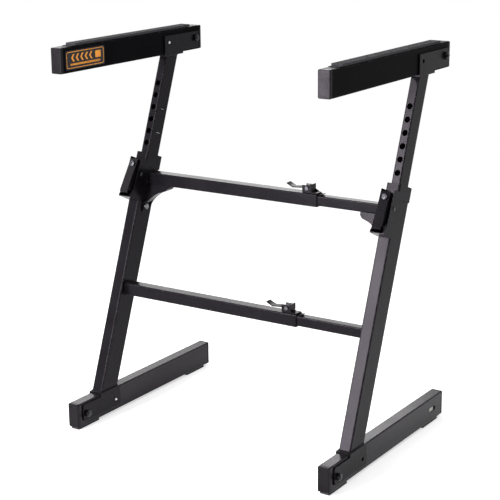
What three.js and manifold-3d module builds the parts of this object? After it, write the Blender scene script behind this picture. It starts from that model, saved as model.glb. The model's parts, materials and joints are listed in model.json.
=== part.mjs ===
// A folding keyboard stand: two Z-shaped side frames of rectangular steel tube, joined by two
// telescoping crossbars. Each frame has a base that lies on the floor, a leg that leans back and
// slides out to set the height, and an arm that carries the keyboard. Base and arm swing on a
// pivot bolt in a channel bracket on the end of the leg, so the frame folds flat.
//
// Millimetres, +Z up. The origin is on the floor, under the middle of the object. The free ends of
// the arms point to -Y, and the left frame stands at -X.
import * as THREE from "three";
import { mergeVertices } from "three/addons/utils/BufferGeometryUtils.js";
import Module from "manifold-3d";

const wasm = await Module();
wasm.setup();

// ---- driving dimensions ----

const GAP = 0.3; // left between touching pieces
const FRAME_SPACING = 704; // between the middle planes of the two side frames
const BASE_LENGTH = 558;
const ARM_LENGTH = 552;
const ARM_OVERHANG = 6; // of the arms' free ends past the bases' front ends
const DEPTH = BASE_LENGTH + ARM_OVERHANG; // of the whole object
const ARM_FRONT = -DEPTH / 2;
const BASE_FRONT = ARM_FRONT + ARM_OVERHANG;
const BAR = { width: 30, height: 60, wall: 2, corner: 3 }; // bases and arms
const BAR_CAP = { flange: 8, insert: 10, overlap: 0.5 };
const FOOT = { height: 6, width: 26, length: 80, frontInset: 5, rearInset: 21, corner: 1.5 };
const BASE_BOTTOM = FOOT.height;
const BASE_TOP = BASE_BOTTOM + BAR.height;
const STORAGE_SLOT = { length: 32, height: 11, fromRear: 56 };

const ARM_BOTTOM = 870;
const ARM_TOP = ARM_BOTTOM + BAR.height;
const ARM_PAD = {
  height: 6, width: 28, frontInset: 52, rearInset: 47, corner: 1.5, groove: 1.2, grooves: 3,
};

const LEAN = THREE.MathUtils.degToRad(20.7); // of the legs, from the vertical
const LEG_AXIS_AT_FLOOR = BASE_FRONT + 97.9; // where the leg's middle line meets the floor
const LOWER_LEG = { width: 30, depth: 60, wall: 2, corner: 3, top: 667 };
const UPPER_LEG = { width: 22, depth: 45, wall: 1.8, corner: 2.5, bottom: 390 };
const INDEX_HOLE = { radius: 7, pitch: 30.5, count: 8 };
const BUSHING = { bottom: 600, flange: 2.7, play: 0.35, corner: 0.9, rim: 2.5 };

const PIVOT = { radius: 5, fromBaseFront: 32, fromArmRear: 30 };
const LOCK_REACH = 112; // from a pivot bolt to its lock button
const BRACKET = {
  sheet: 3, play: 0.5, beyondPivot: 14, reach: 130, webStart: 54, cheek: 47, step: 5, nose: 5,
};
const PIVOT_BOLT = { hexagon: 6.5, rim: 4, washer: 2, washerRim: 5, tail: 2 }; // beyond the shank
const BUTTON = {
  radius: 3.5, proud: 1.8, tip: 2.6, chamfer: 0.8, headRadius: 6, headThickness: 1.5, hole: 4.8,
};

const LATCH = { pinAlong: 634, pivotAlong: 612, pivotOut: -41, sheet: 2 };
const LATCH_PIN = { radius: 5.5, into: 4, step: 1, play: 0.8, shank: 3.5, head: 7, headThickness: 2.4 };
const LATCH_RIVET = { radius: 3, head: 4.5, headThickness: 1.6 };
const LATCH_SPRING = { outer: 4.5, inner: 3.3, belowPivot: 30, play: 2.2 };
const HOUSING = {
  bottom: 547, top: 670, collarBottom: 636, cheekTop: 653, cheekBack: 8, lipOut: -70, lipRise: 3, lipSheet: 2,
  // The cheeks' free edge from the top down, as places out from the leg and along it.
  edge: [[-52, 653], [-58, 590], [-60, 570], [-70, 555]],
};
const LEVER = {
  width: 22, sheet: 2.2, topAlong: 647, topOut: -59, footAlong: 562, footOut: -78, slot: 4.5, slotRise: 4,
  // The turned-in foot and the ears, as steps out from the leg and along it.
  foot: [[3, -3], [4.6, -1.6]], footBend: [2.8, 0.8], earFoot: [20, 6], earBack: 5, earRise: 7, earTop: 12,
};

const CROSSBAR = { outer: 30, wall: 2, inner: 24, innerWall: 2, corner: 2.5, innerReach: 365 };
const CROSSBARS = [
  { name: "upper", height: 573.5, outerEnd: 155, gusset: true },
  { name: "lower", height: 309.5, outerEnd: 160, gusset: false },
];
const GUSSET = {
  sheet: 3, width: 28, rise: 1, openBelow: 44, foot: 12,
  boltDrop: 55, boltRadius: 4, boltRim: 3, boltHead: 4.5,
  // The free edge, as distances from the leg's face and down from the crossbar.
  edge: [[66, 5], [60, 12], [50, 15.5], [40, 19], [30, 25], [20, 33], [12, 42], [6, 54], [2.5, 66]],
  // From the free edge to the hollow behind it.
  hollow: [-1.8, 2.4],
};
const CAM = {
  length: 40, height: 21, sheet: 2.5, half: 11, pivotFromEnd: 28, pivotUp: 11, pinRadius: 3, pinHead: 5,
  pinHeadThickness: 2, cheekDrop: 3, cheekEnd: 15.5, uprightStart: 17.5,
  slotStart: 25.5, slotEnd: 19.5, slotHalf: 6,
  // The lever's side view from the cam to the turned-up tip and back, from its pivot.
  lever: [
    [4, 7.1], [-6, 6], [-12, 2.4], [-40, 0], [-56, 7.5],
    [-57.4, 5.2], [-41, -2.8], [-12, -0.6], [-6, -4], [5, 0],
  ],
};
const PRESSURE_PLATE = {
  half: 8, fromEnd: 1,
  edge: [[0, 0], [4, 0], [11, 2.5], [10.4, 4.3], [3.6, 2], [0, 2]],
};

// ---- materials ----

const steel = () => new THREE.MeshStandardMaterial({ color: 0x2b2a2f, roughness: 0.42, metalness: 0.1 });
const plastic = () => new THREE.MeshStandardMaterial({ color: 0x26262a, roughness: 0.55, metalness: 0 });
const rubber = () => new THREE.MeshStandardMaterial({ color: 0x161618, roughness: 0.9, metalness: 0 });
const zinc = () => new THREE.MeshStandardMaterial({ color: 0xc4c6ca, roughness: 0.3, metalness: 1 });
const blackened = () => new THREE.MeshStandardMaterial({ color: 0x35353a, roughness: 0.35, metalness: 0.9 });

// ---- solids ----

/** A closed geometry as a solid that can be joined and cut. */
function solid(geometry) {
  const bare = geometry.clone();
  bare.deleteAttribute("normal");
  bare.deleteAttribute("uv");
  const merged = mergeVertices(bare, 1e-4);
  return new wasm.Manifold(new wasm.Mesh({
    numProp: 3,
    vertProperties: merged.attributes.position.array,
    triVerts: new Uint32Array(merged.index.array),
  }));
}

/** A solid's surface as a geometry with flat faces. */
function surface(body) {
  const mesh = body.getMesh();
  const geometry = new THREE.BufferGeometry();
  geometry.setAttribute("position", new THREE.BufferAttribute(mesh.vertProperties, 3));
  geometry.setIndex(new THREE.BufferAttribute(mesh.triVerts, 1));
  const faceted = geometry.toNonIndexed();
  faceted.computeVertexNormals();
  return faceted;
}

const join = (bodies) => bodies.reduce((sum, body) => sum.add(body));
const cut = (body, tools) => tools.reduce((left, tool) => left.subtract(tool), body);

/** A named mesh of a solid. */
function piece(name, body, material) {
  const mesh = new THREE.Mesh(surface(body), material);
  mesh.name = name;
  return mesh;
}

/** A box between two corners. */
function box(low, high) {
  const size = high.map((value, axis) => value - low[axis]);
  const middle = high.map((value, axis) => (value + low[axis]) / 2);
  return solid(new THREE.BoxGeometry(...size).translate(...middle));
}

/** A rod along X, between two places on X. */
function rodX(radius, x0, x1, y, z, sides = 12) {
  const rod = new THREE.CylinderGeometry(radius, radius, Math.abs(x1 - x0), sides);
  return solid(rod.rotateZ(Math.PI / 2).translate((x0 + x1) / 2, y, z));
}

/** A rod along Y, between two places on Y. */
function rodY(radius, y0, y1, x, z, sides = 12) {
  const rod = new THREE.CylinderGeometry(radius, radius, Math.abs(y1 - y0), sides);
  return solid(rod.translate(x, (y0 + y1) / 2, z));
}

/** A rectangle with round corners, round the origin. */
function roundedRectangle(width, height, corner, Kind = THREE.Shape) {
  const outline = new Kind();
  const x = width / 2 - corner;
  const y = height / 2 - corner;
  outline.absarc(x, y, corner, 0, Math.PI / 2);
  outline.absarc(-x, y, corner, Math.PI / 2, Math.PI);
  outline.absarc(-x, -y, corner, Math.PI, 1.5 * Math.PI);
  outline.absarc(x, -y, corner, 1.5 * Math.PI, 2 * Math.PI);
  return outline;
}

/** A bar of a rounded section along +Z from 0. */
function prism(width, height, corner, length) {
  const outline = roundedRectangle(width, height, corner);
  return new THREE.ExtrudeGeometry(outline, { depth: length, bevelEnabled: false, curveSegments: 2 });
}

/** A rectangular tube along +Z from 0, open at both ends. */
function tube(width, height, wall, corner, length) {
  const outline = roundedRectangle(width, height, corner);
  outline.holes.push(
    roundedRectangle(width - 2 * wall, height - 2 * wall, Math.max(corner - wall, 0.6), THREE.Path),
  );
  return new THREE.ExtrudeGeometry(outline, { depth: length, bevelEnabled: false, curveSegments: 3 });
}

/** Turns a length along +Z into one along +Y, with the section's height upright. */
const alongY = (geometry) => geometry.rotateZ(Math.PI).rotateX(-Math.PI / 2);
/** Turns a length along +Z into one along +X, with the section's height upright. */
const alongX = (geometry) => geometry.rotateZ(Math.PI / 2).rotateY(Math.PI / 2);

/** A plate whose outline is given in (y, z), between two places on X. */
function plateX(outline, x0, x1, curveSegments = 7) {
  const settings = { depth: x1 - x0, bevelEnabled: false, curveSegments };
  const plate = new THREE.ExtrudeGeometry(outline, settings);
  // The outline's (x, y) become (y, z), and its thickness runs along X.
  const turn = new THREE.Matrix4().set(0, 0, 1, x0, 1, 0, 0, 0, 0, 1, 0, 0, 0, 0, 0, 1);
  return solid(plate.applyMatrix4(turn));
}

/** A shape through (y, z) points. */
const outlineOf = (points) => new THREE.Shape(points.map(([y, z]) => new THREE.Vector2(y, z)));

// ---- bars: bases and arms ----

/** A bar's tube between its two end caps, with the holes of its pivot and its lock button. */
function barTube(name, x, start, length, bottom, pivotY, buttonY, extraCuts = []) {
  const middle = bottom + BAR.height / 2;
  const inset = BAR_CAP.flange + GAP;
  const geometry = alongY(tube(BAR.width, BAR.height, BAR.wall, BAR.corner, length - 2 * inset));
  const body = solid(geometry.translate(x, start + inset, middle));
  const halfWide = BAR.width / 2 + 1;
  const pivotHole = rodX(PIVOT.radius + GAP, x - halfWide, x + halfWide, pivotY, middle);
  const buttonHole = rodX(BUTTON.radius + GAP, x - halfWide, x + halfWide, buttonY, middle);
  return piece(name, cut(body, [pivotHole, buttonHole, ...extraCuts]), steel());
}

/** An end cap: a flange as wide as the bar, with a plug that fits inside the tube. */
function barCap(name, x, y, bottom, inwards) {
  const { flange, insert, overlap } = BAR_CAP;
  const bore = BAR.wall + GAP;
  const plugLength = insert + overlap;
  const outer = alongY(prism(BAR.width, BAR.height, BAR.corner, flange));
  const plug = alongY(prism(BAR.width - 2 * bore, BAR.height - 2 * bore, BAR.corner / 2, plugLength));
  const middle = bottom + BAR.height / 2;
  const outerStart = inwards > 0 ? y : y - flange;
  const plugStart = inwards > 0 ? y + flange - overlap : y - flange - insert;
  const body = join([
    solid(outer.translate(x, outerStart, middle)),
    solid(plug.translate(x, plugStart, middle)),
  ]);
  return piece(name, body, plastic());
}

/** A rubber foot under a base. */
function foot(name, x, y) {
  const pad = alongY(prism(FOOT.width, FOOT.height - GAP, FOOT.corner, FOOT.length));
  return piece(name, solid(pad.translate(x, y, (FOOT.height - GAP) / 2)), rubber());
}

/** The pad on an arm, with grooves along its top. */
function armPad(name, x) {
  const length = ARM_LENGTH - ARM_PAD.frontInset - ARM_PAD.rearInset;
  const height = ARM_PAD.height - GAP;
  const start = ARM_FRONT + ARM_PAD.frontInset;
  const top = ARM_TOP + ARM_PAD.height;
  const pad = solid(alongY(prism(ARM_PAD.width, height, ARM_PAD.corner, length))
    .translate(x, start, top - height / 2));
  const spacing = ARM_PAD.width / (ARM_PAD.grooves + 1);
  const grooves = [];
  for (let i = 1; i <= ARM_PAD.grooves; i += 1) {
    const middle = x - ARM_PAD.width / 2 + i * spacing;
    const half = ARM_PAD.groove;
    grooves.push(box(
      [middle - half, start - 1, top - ARM_PAD.groove],
      [middle + half, start + length + 1, top + 1],
    ));
  }
  return piece(name, cut(pad, grooves), rubber());
}

// ---- brackets, pivots and lock buttons ----

/**
 * A channel bracket in its own frame: the pivot at the origin, the bar along +Y, and the leg on
 * the side of +Z. The web lies on the bar and the cheeks stand beside it.
 */
function channelBracket() {
  const inner = BAR.width / 2 + BRACKET.play;
  const outer = inner + BRACKET.sheet;
  const webLow = BAR.height / 2 + GAP;
  const webHigh = webLow + BRACKET.sheet;
  const edge = BAR.height / 2 - BRACKET.cheek; // the cheek's far edge
  const shoulder = BAR.height / 2 - BRACKET.step;
  const cheek = new THREE.Shape();
  const noseY = -BRACKET.beyondPivot + BRACKET.nose;
  cheek.moveTo(BRACKET.reach, webHigh);
  cheek.lineTo(BRACKET.webStart, webHigh);
  cheek.lineTo(BRACKET.webStart, shoulder);
  cheek.lineTo(noseY, shoulder);
  cheek.absarc(noseY, shoulder - BRACKET.nose, BRACKET.nose, Math.PI / 2, Math.PI);
  cheek.absarc(noseY, edge + BRACKET.nose, BRACKET.nose, Math.PI, 1.5 * Math.PI);
  cheek.lineTo(BRACKET.reach, edge);
  cheek.closePath();
  const web = box([-inner - 1, BRACKET.webStart, webLow], [inner + 1, BRACKET.reach, webHigh]);
  const body = join([web, plateX(cheek, inner, outer), plateX(cheek, -outer, -inner)]);
  return cut(body, [
    rodX(PIVOT.radius + GAP, -outer - 1, outer + 1, 0, 0),
    rodX(BUTTON.hole, -outer - 1, outer + 1, LOCK_REACH, 0),
  ]);
}

/** A pivot bolt: its hexagon head on a washer at -X, and its nut with the thread's end at +X. */
function pivotBolt(name, x, y, z) {
  const { hexagon, rim, washer, washerRim, tail } = PIVOT_BOLT;
  const cheek = BAR.width / 2 + BRACKET.play + BRACKET.sheet + GAP;
  const headEnd = cheek + washer + hexagon;
  const nutEnd = cheek + hexagon;
  return piece(name, join([
    rodX(PIVOT.radius, x - cheek - 1, x + nutEnd + tail, y, z),
    rodX(PIVOT.radius + washerRim, x - cheek - washer, x - cheek, y, z, 20),
    rodX(PIVOT.radius + rim, x - headEnd, x - cheek, y, z, 6),
    rodX(PIVOT.radius + rim, x + cheek, x + nutEnd, y, z, 6),
  ]), blackened());
}

/** A spring lock button: its head stays inside the bar and its tip passes through the bracket. */
function lockButton(name, x, y, z, inward) {
  const tip = BAR.width / 2 + BRACKET.play + BRACKET.sheet + BUTTON.proud;
  const head = BAR.width / 2 - BAR.wall - GAP;
  const headBack = head - BUTTON.headThickness;
  return piece(name, join([
    rodX(BUTTON.radius, x + inward * (head - 1), x + inward * (tip - BUTTON.chamfer), y, z, 16),
    rodX(BUTTON.tip, x + inward * head, x + inward * tip, y, z, 16),
    rodX(BUTTON.headRadius, x + inward * headBack, x + inward * head, y, z, 16),
  ]), zinc());
}

// ---- legs ----

/** The frame of a leg: its Z runs up the leg, its Y to the rear, from the floor. */
function legFrame(x) {
  const frame = new THREE.Group();
  frame.position.set(x, LEG_AXIS_AT_FLOOR, 0);
  frame.rotation.x = -LEAN;
  frame.updateMatrix();
  return frame;
}

/** A level box, wide enough to cut any leg, from one height to another, in a leg's own frame. */
function levelCutter(frame, low, high) {
  const reach = 400;
  const cutter = new THREE.BoxGeometry(100, 2 * reach, high - low);
  cutter.translate(frame.position.x, 0, (low + high) / 2);
  return solid(cutter.applyMatrix4(frame.matrix.clone().invert()));
}

/** A rod across a leg's depth, from one place on its Y to another. */
const rodThrough = (radius, y0, y1, along, sides = 12) => rodY(radius, y0, y1, 0, along, sides);

/** The lower leg: a tube cut level where it is welded to the foot bracket. */
function lowerLeg(name, frame) {
  const { width, depth, wall, corner, top } = LOWER_LEG;
  const body = solid(tube(width, depth, wall, corner, top));
  const webTop = BASE_TOP + GAP + BRACKET.sheet;
  const pinHole = rodThrough(LATCH_PIN.radius + LATCH_PIN.play, -depth, 0, LATCH.pinAlong);
  return piece(name, cut(body, [levelCutter(frame, -200, webTop + GAP), pinHole]), steel());
}

/** The upper leg: a tube with a row of index holes in its front, cut level under the arm bracket. */
function upperLeg(name, frame) {
  const { width, depth, wall, corner, bottom } = UPPER_LEG;
  const body = solid(tube(width, depth, wall, corner, 620).translate(0, 0, bottom));
  const webBottom = ARM_BOTTOM - GAP - BRACKET.sheet;
  const holes = [];
  for (let i = 0; i < INDEX_HOLE.count; i += 1) {
    const along = LATCH.pinAlong + i * INDEX_HOLE.pitch;
    holes.push(rodThrough(INDEX_HOLE.radius, -depth, 0, along, 16));
  }
  return piece(name, cut(body, [levelCutter(frame, webBottom - GAP, 1400), ...holes]), steel());
}

/** The plastic bushing between the two tubes, with a flange on the lower one's end. */
function legBushing(name) {
  const { width, depth, wall, top } = LOWER_LEG;
  const bore = wall + GAP;
  const flangeLow = top + GAP;
  const flangeHigh = flangeLow + BUSHING.flange;
  const sleeve = solid(prism(
    width - 2 * bore, depth - 2 * bore, BUSHING.corner, flangeLow - BUSHING.bottom + 0.5,
  ).translate(0, 0, BUSHING.bottom));
  const flange = solid(prism(width - 2 * GAP, depth - 2 * GAP, BUSHING.rim, BUSHING.flange)
    .translate(0, 0, flangeLow));
  const opening = solid(prism(
    UPPER_LEG.width + 2 * BUSHING.play, UPPER_LEG.depth + 2 * BUSHING.play, UPPER_LEG.corner,
    flangeHigh - BUSHING.bottom + 2,
  ).translate(0, 0, BUSHING.bottom - 1));
  const pinHole = rodThrough(LATCH_PIN.radius + LATCH_PIN.play, -depth, 0, LATCH.pinAlong);
  return piece(name, cut(join([sleeve, flange]), [opening, pinHole]), plastic());
}

// ---- height latch ----

/** The latch housing: a collar round the lower leg's end, and cheeks and a lip round the lever. */
function latchHousing(name) {
  const halfWide = LOWER_LEG.width / 2 + GAP;
  const halfDeep = LOWER_LEG.depth / 2 + GAP;
  const { sheet, pivotAlong, pivotOut } = LATCH;
  const { bottom, top, collarBottom, cheekTop, cheekBack, lipOut, lipRise, lipSheet, edge } = HOUSING;
  const collar = solid(tube(
    2 * (halfWide + sheet), 2 * (halfDeep + sheet), sheet, LOWER_LEG.corner + sheet,
    top - collarBottom,
  ).translate(0, 0, collarBottom));
  const seam = 0.5; // by which sheets run into each other where they are folded
  const front = box(
    [-halfWide - seam, -halfDeep - sheet, bottom],
    [halfWide + seam, -halfDeep, collarBottom + 1],
  );
  const cheek = outlineOf([
    [-halfDeep - sheet / 2, cheekTop],
    ...edge,
    [lipOut, bottom + lipRise],
    [-halfDeep - sheet, bottom],
    [-halfDeep + cheekBack, bottom],
    [-halfDeep + cheekBack, collarBottom - cheekBack],
    [-halfDeep + 2 * cheekBack, collarBottom + 1],
  ]);
  const lip = outlineOf([
    [lipOut, bottom + lipRise],
    [-halfDeep - sheet / 2, bottom],
    [-halfDeep - sheet / 2, bottom + lipSheet],
    [lipOut, bottom + lipRise + lipSheet],
  ]);
  const body = join([
    collar, front,
    plateX(lip, -halfWide - seam, halfWide + seam),
    plateX(cheek, halfWide, halfWide + sheet),
    plateX(cheek, -halfWide - sheet, -halfWide),
  ]);
  const across = halfWide + sheet + 1;
  return piece(name, cut(body, [
    rodThrough(LATCH_PIN.radius + LATCH_PIN.play, -LOWER_LEG.depth, 0, LATCH.pinAlong),
    rodX(LATCH_RIVET.radius + GAP, -across, across, pivotOut, pivotAlong, 12),
    box([-halfWide, -halfDeep, bottom - 1], [halfWide, halfDeep, top + 1]),
  ]), steel());
}

/** How far out the lever's face is at a place along the leg. */
function leverFaceAt(along) {
  const { topAlong, topOut, footAlong, footOut } = LEVER;
  return topOut + (footOut - topOut) * (topAlong - along) / (topAlong - footAlong);
}

/** The latch lever: a folded-sheet rocker whose foot is pressed and whose top draws the pin. */
function latchLever(name) {
  const { width, sheet, topAlong, topOut, footAlong, footOut } = LEVER;
  const { foot: turned, footBend, earFoot, earBack, earRise, earTop, slot, slotRise } = LEVER;
  const { pivotAlong, pivotOut } = LATCH;
  const half = width / 2;
  const seam = 0.4; // of the ears into the face
  const face = outlineOf([
    [topOut, topAlong],
    [footOut, footAlong],
    ...turned.map(([out, along]) => [footOut + out, footAlong + along]),
    [footOut + footBend[0], footAlong + footBend[1]],
    [topOut + sheet, topAlong],
  ]);
  const ear = outlineOf([
    [topOut + seam, topAlong - 1],
    [footOut + seam, footAlong + 4],
    [footOut + earFoot[0], footAlong + earFoot[1]],
    [pivotOut + earBack, pivotAlong - earRise],
    [pivotOut + earBack, pivotAlong + earRise],
    [topOut + earTop, topAlong - 1],
  ]);
  const body = join([
    plateX(face, -half, half),
    plateX(ear, half - sheet, half),
    plateX(ear, -half, -half + sheet),
  ]);
  const faceInner = topOut + 2 * sheet + 1;
  return piece(name, cut(body, [
    rodX(LATCH_RIVET.radius + GAP, -half - 1, half + 1, pivotOut, pivotAlong, 12),
    rodThrough(slot, footOut, faceInner, LATCH.pinAlong),
    rodThrough(slot, footOut, faceInner, LATCH.pinAlong + slotRise),
  ]), steel());
}

/** The latch pin: it is drawn by its screw head, and its thick end enters an index hole. */
function latchPin(name) {
  const { radius, into, step, shank, head, headThickness } = LATCH_PIN;
  const headInner = leverFaceAt(LATCH.pinAlong) - headThickness;
  const tip = -UPPER_LEG.depth / 2 + into;
  const shoulder = LATCH.pivotOut - LATCH_RIVET.radius - 2 * step;
  return piece(name, join([
    rodThrough(radius, shoulder, tip - step, LATCH.pinAlong),
    rodThrough(radius - step, tip - 2 * step, tip, LATCH.pinAlong),
    rodThrough(shank, headInner - step, shoulder + step, LATCH.pinAlong, 12),
    rodThrough(head, headInner - headThickness, headInner, LATCH.pinAlong, 16),
  ]), zinc());
}

/** The rivet that the latch lever rocks on. */
function latchRivet(name) {
  const { radius, head, headThickness } = LATCH_RIVET;
  const cheek = LOWER_LEG.width / 2 + LATCH.sheet + 2 * GAP;
  return piece(name, join([
    rodX(radius, -cheek - 1, cheek + 1, LATCH.pivotOut, LATCH.pivotAlong, 12),
    rodX(head, cheek, cheek + headThickness, LATCH.pivotOut, LATCH.pivotAlong, 12),
    rodX(head, -cheek - headThickness, -cheek, LATCH.pivotOut, LATCH.pivotAlong, 12),
  ]), zinc());
}

/** The spring under the lever's foot, as the plain sleeve that its few small coils fill. */
function latchSpring(name) {
  const along = LATCH.pivotAlong - LATCH_SPRING.belowPivot;
  const outer = leverFaceAt(along) + LEVER.sheet + LATCH_SPRING.play;
  const inner = -LOWER_LEG.depth / 2 - LATCH.sheet - 2 * GAP;
  return piece(name, cut(
    rodThrough(LATCH_SPRING.outer, outer, inner, along, 12),
    [rodThrough(LATCH_SPRING.inner, outer - 1, inner + 1, along, 12)],
  ), zinc());
}

// ---- crossbars ----

const legInnerFace = FRAME_SPACING / 2 - LOWER_LEG.width / 2;
const legAxisAt = (height) => LEG_AXIS_AT_FLOOR + height * Math.tan(LEAN);

/**
 * The gusset under an upper crossbar's end: a pressed brace that follows the leg's lean, with a
 * round foot flat on the leg, where its bolt is.
 */
function crossbarGusset(side, y, tubeBottom) {
  const { sheet, width, rise, edge, hollow: behind, openBelow, foot: footRadius, boltDrop } = GUSSET;
  const slip = Math.tan(LEAN);
  const face = side * (legInnerFace - GAP);
  const freeEdge = edge.map(([out, down]) => new THREE.Vector2(out, -down));
  const hollowEdge = freeEdge.slice(0, -1).map((place) => place.clone().add(new THREE.Vector2(...behind)));
  const reach = freeEdge[0].x;
  const outline = new THREE.Shape();
  outline.moveTo(0, rise);
  outline.lineTo(reach, rise);
  outline.lineTo(freeEdge[0].x, freeEdge[0].y);
  outline.splineThru(freeEdge.slice(1));
  outline.lineTo(0, freeEdge.at(-1).y);
  outline.closePath();
  const hollow = new THREE.Shape();
  hollow.moveTo(sheet, -rise);
  hollow.lineTo(reach + 1, -rise);
  hollow.lineTo(reach + 1, hollowEdge[0].y);
  hollow.splineThru(hollowEdge);
  hollow.closePath();
  const extruded = (shape, thickness) => {
    const plate = new THREE.ExtrudeGeometry(shape, {
      depth: thickness, bevelEnabled: false, curveSegments: 2,
    });
    return solid(plate.translate(0, 0, -thickness / 2).rotateX(Math.PI / 2));
  };
  const boltRoom = box([sheet, -width, -2 * boltDrop], [reach, width / 2 - sheet, -openBelow]);
  const mirrored = side < 0 ? 1 : -1;
  const brace = cut(extruded(outline, width), [extruded(hollow, width - 2 * sheet), boltRoom]);
  // The brace leans with the leg: the lower a place is, the further it is to the front.
  const leaned = brace.warp((vertex) => {
    vertex[1] += slip * Math.min(vertex[2], 0);
  });
  const placed = leaned.scale([mirrored, 1, 1]).translate([face, y, tubeBottom]);
  const bolt = { y: legAxisAt(tubeBottom - boltDrop), z: tubeBottom - boltDrop };
  const foot = new THREE.Shape();
  foot.moveTo(y - width / 2, tubeBottom + rise);
  foot.lineTo(y + width / 2, tubeBottom + rise);
  foot.lineTo(bolt.y + footRadius, bolt.z);
  foot.absarc(bolt.y, bolt.z, footRadius, 0, Math.PI, true);
  foot.closePath();
  const inner = face - side * sheet;
  return join([placed, plateX(foot, Math.min(face, inner), Math.max(face, inner))]);
}

/** Where a gusset's bolt is: on the leg's middle line, near the tongue's end. */
const boltPlace = (bar, size) => {
  const z = bar.height - size / 2 - GUSSET.boltDrop;
  return { y: legAxisAt(z), z };
};

/** One end of a crossbar: a tube that is welded to the leg, with its gusset where it has one. */
function crossbarTube(name, bar, side, size, wall, length) {
  const y = legAxisAt(bar.height);
  const face = legInnerFace - GAP;
  const start = side < 0 ? -face : face - length;
  const shaft = solid(alongX(tube(size, size, wall, CROSSBAR.corner, length))
    .translate(start, y, bar.height));
  if (!bar.gusset) return piece(name, shaft, steel());
  const body = join([shaft, crossbarGusset(side, y, bar.height - size / 2)]);
  const bolt = boltPlace(bar, size);
  const hole = rodX(
    GUSSET.boltRadius + GAP, side * (face - 2 * GUSSET.sheet), side * (face + 1), bolt.y, bolt.z, 12,
  );
  return piece(name, body.subtract(hole), steel());
}

/** The bolt that holds a gusset's foot against the leg. */
function gussetBolt(name, bar, side, size) {
  const { y, z } = boltPlace(bar, size);
  const seat = legInnerFace - GAP - GUSSET.sheet - GAP;
  return piece(name, join([
    rodX(GUSSET.boltRadius, side * (seat - 1), side * (legInnerFace - 2 * GAP), y, z, 12),
    rodX(GUSSET.boltRadius + GUSSET.boltRim, side * (seat - GUSSET.boltHead), side * seat, y, z, 16),
  ]), zinc());
}

/** The saddle on an outer tube's end: two cheeks that hold the cam lever, on a low floor. */
function camSaddle(name, bar) {
  const { half, sheet, height, cheekDrop, cheekEnd, uprightStart, slotStart, slotEnd, slotHalf } = CAM;
  const y = legAxisAt(bar.height);
  const top = bar.height + CROSSBAR.outer / 2 + GAP;
  const end = bar.outerEnd - 1;
  const start = end - CAM.length;
  const pivot = camPivot(bar);
  const floor = box([start, y - half, top], [end, y + half, top + sheet]);
  const cheek = (y0, y1) => box([start, y0, top], [end - cheekEnd, y1, top + height - cheekDrop]);
  const upright = box(
    [end - uprightStart, y - half, top],
    [end - uprightStart + sheet, y + half, top + height],
  );
  const body = join([floor, cheek(y - half, y - half + sheet), cheek(y + half - sheet, y + half), upright]);
  return piece(name, cut(body, [
    rodY(CAM.pinRadius + GAP, y - 2 * half, y + 2 * half, pivot.x, pivot.z, 12),
    box([end - slotStart, y - slotHalf, top - 1], [end - slotEnd, y + slotHalf, top + sheet + 1]),
  ]), steel());
}

/** Where a cam lever's pivot is. */
function camPivot(bar) {
  return {
    x: bar.outerEnd - CAM.pivotFromEnd,
    y: legAxisAt(bar.height),
    z: bar.height + CROSSBAR.outer / 2 + GAP + CAM.pivotUp,
  };
}

/** The cam lever: a round cam on the pivot and a flat handle with a turned-up tip. */
function camLever(name, bar) {
  const pivot = camPivot(bar);
  const half = CAM.half - CAM.sheet - GAP;
  const radius = CAM.pivotUp - CAM.sheet - GAP;
  const outline = new THREE.Shape(CAM.lever.map(([out, up]) => new THREE.Vector2(out, up)));
  const handle = new THREE.ExtrudeGeometry(outline, { depth: 2 * half, bevelEnabled: false });
  handle.rotateX(Math.PI / 2).translate(pivot.x, pivot.y + half, pivot.z);
  const cam = rodY(radius, pivot.y - half, pivot.y + half, pivot.x, pivot.z, 20);
  const bore = rodY(CAM.pinRadius + GAP, pivot.y - 2 * half, pivot.y + 2 * half, pivot.x, pivot.z, 12);
  return piece(name, cut(join([solid(handle), cam]), [bore]), steel());
}

/** The pin that the cam lever turns on. */
function camPin(name, bar) {
  const { x, y, z } = camPivot(bar);
  const { pinRadius, pinHead, pinHeadThickness } = CAM;
  const cheek = CAM.half + GAP;
  return piece(name, join([
    rodY(pinRadius, y - cheek - 1, y + cheek + 1, x, z, 12),
    rodY(pinHead, y - cheek - pinHeadThickness, y - cheek, x, z, 16),
    rodY(pinHead, y + cheek, y + cheek + pinHeadThickness, x, z, 16),
  ]), blackened());
}

/** The pressure plate: a tongue past the outer tube's end that the cam presses on the inner tube. */
function pressurePlate(name, bar) {
  const { half, fromEnd, edge } = PRESSURE_PLATE;
  const outline = new THREE.Shape(edge.map(([along, up]) => new THREE.Vector2(along, up)));
  const plate = new THREE.ExtrudeGeometry(outline, { depth: 2 * half, bevelEnabled: false });
  plate.rotateX(Math.PI / 2);
  plate.translate(
    bar.outerEnd + fromEnd,
    legAxisAt(bar.height) + half,
    bar.height + CROSSBAR.inner / 2 + GAP,
  );
  return piece(name, solid(plate), steel());
}

// ---- assemblies ----

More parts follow.
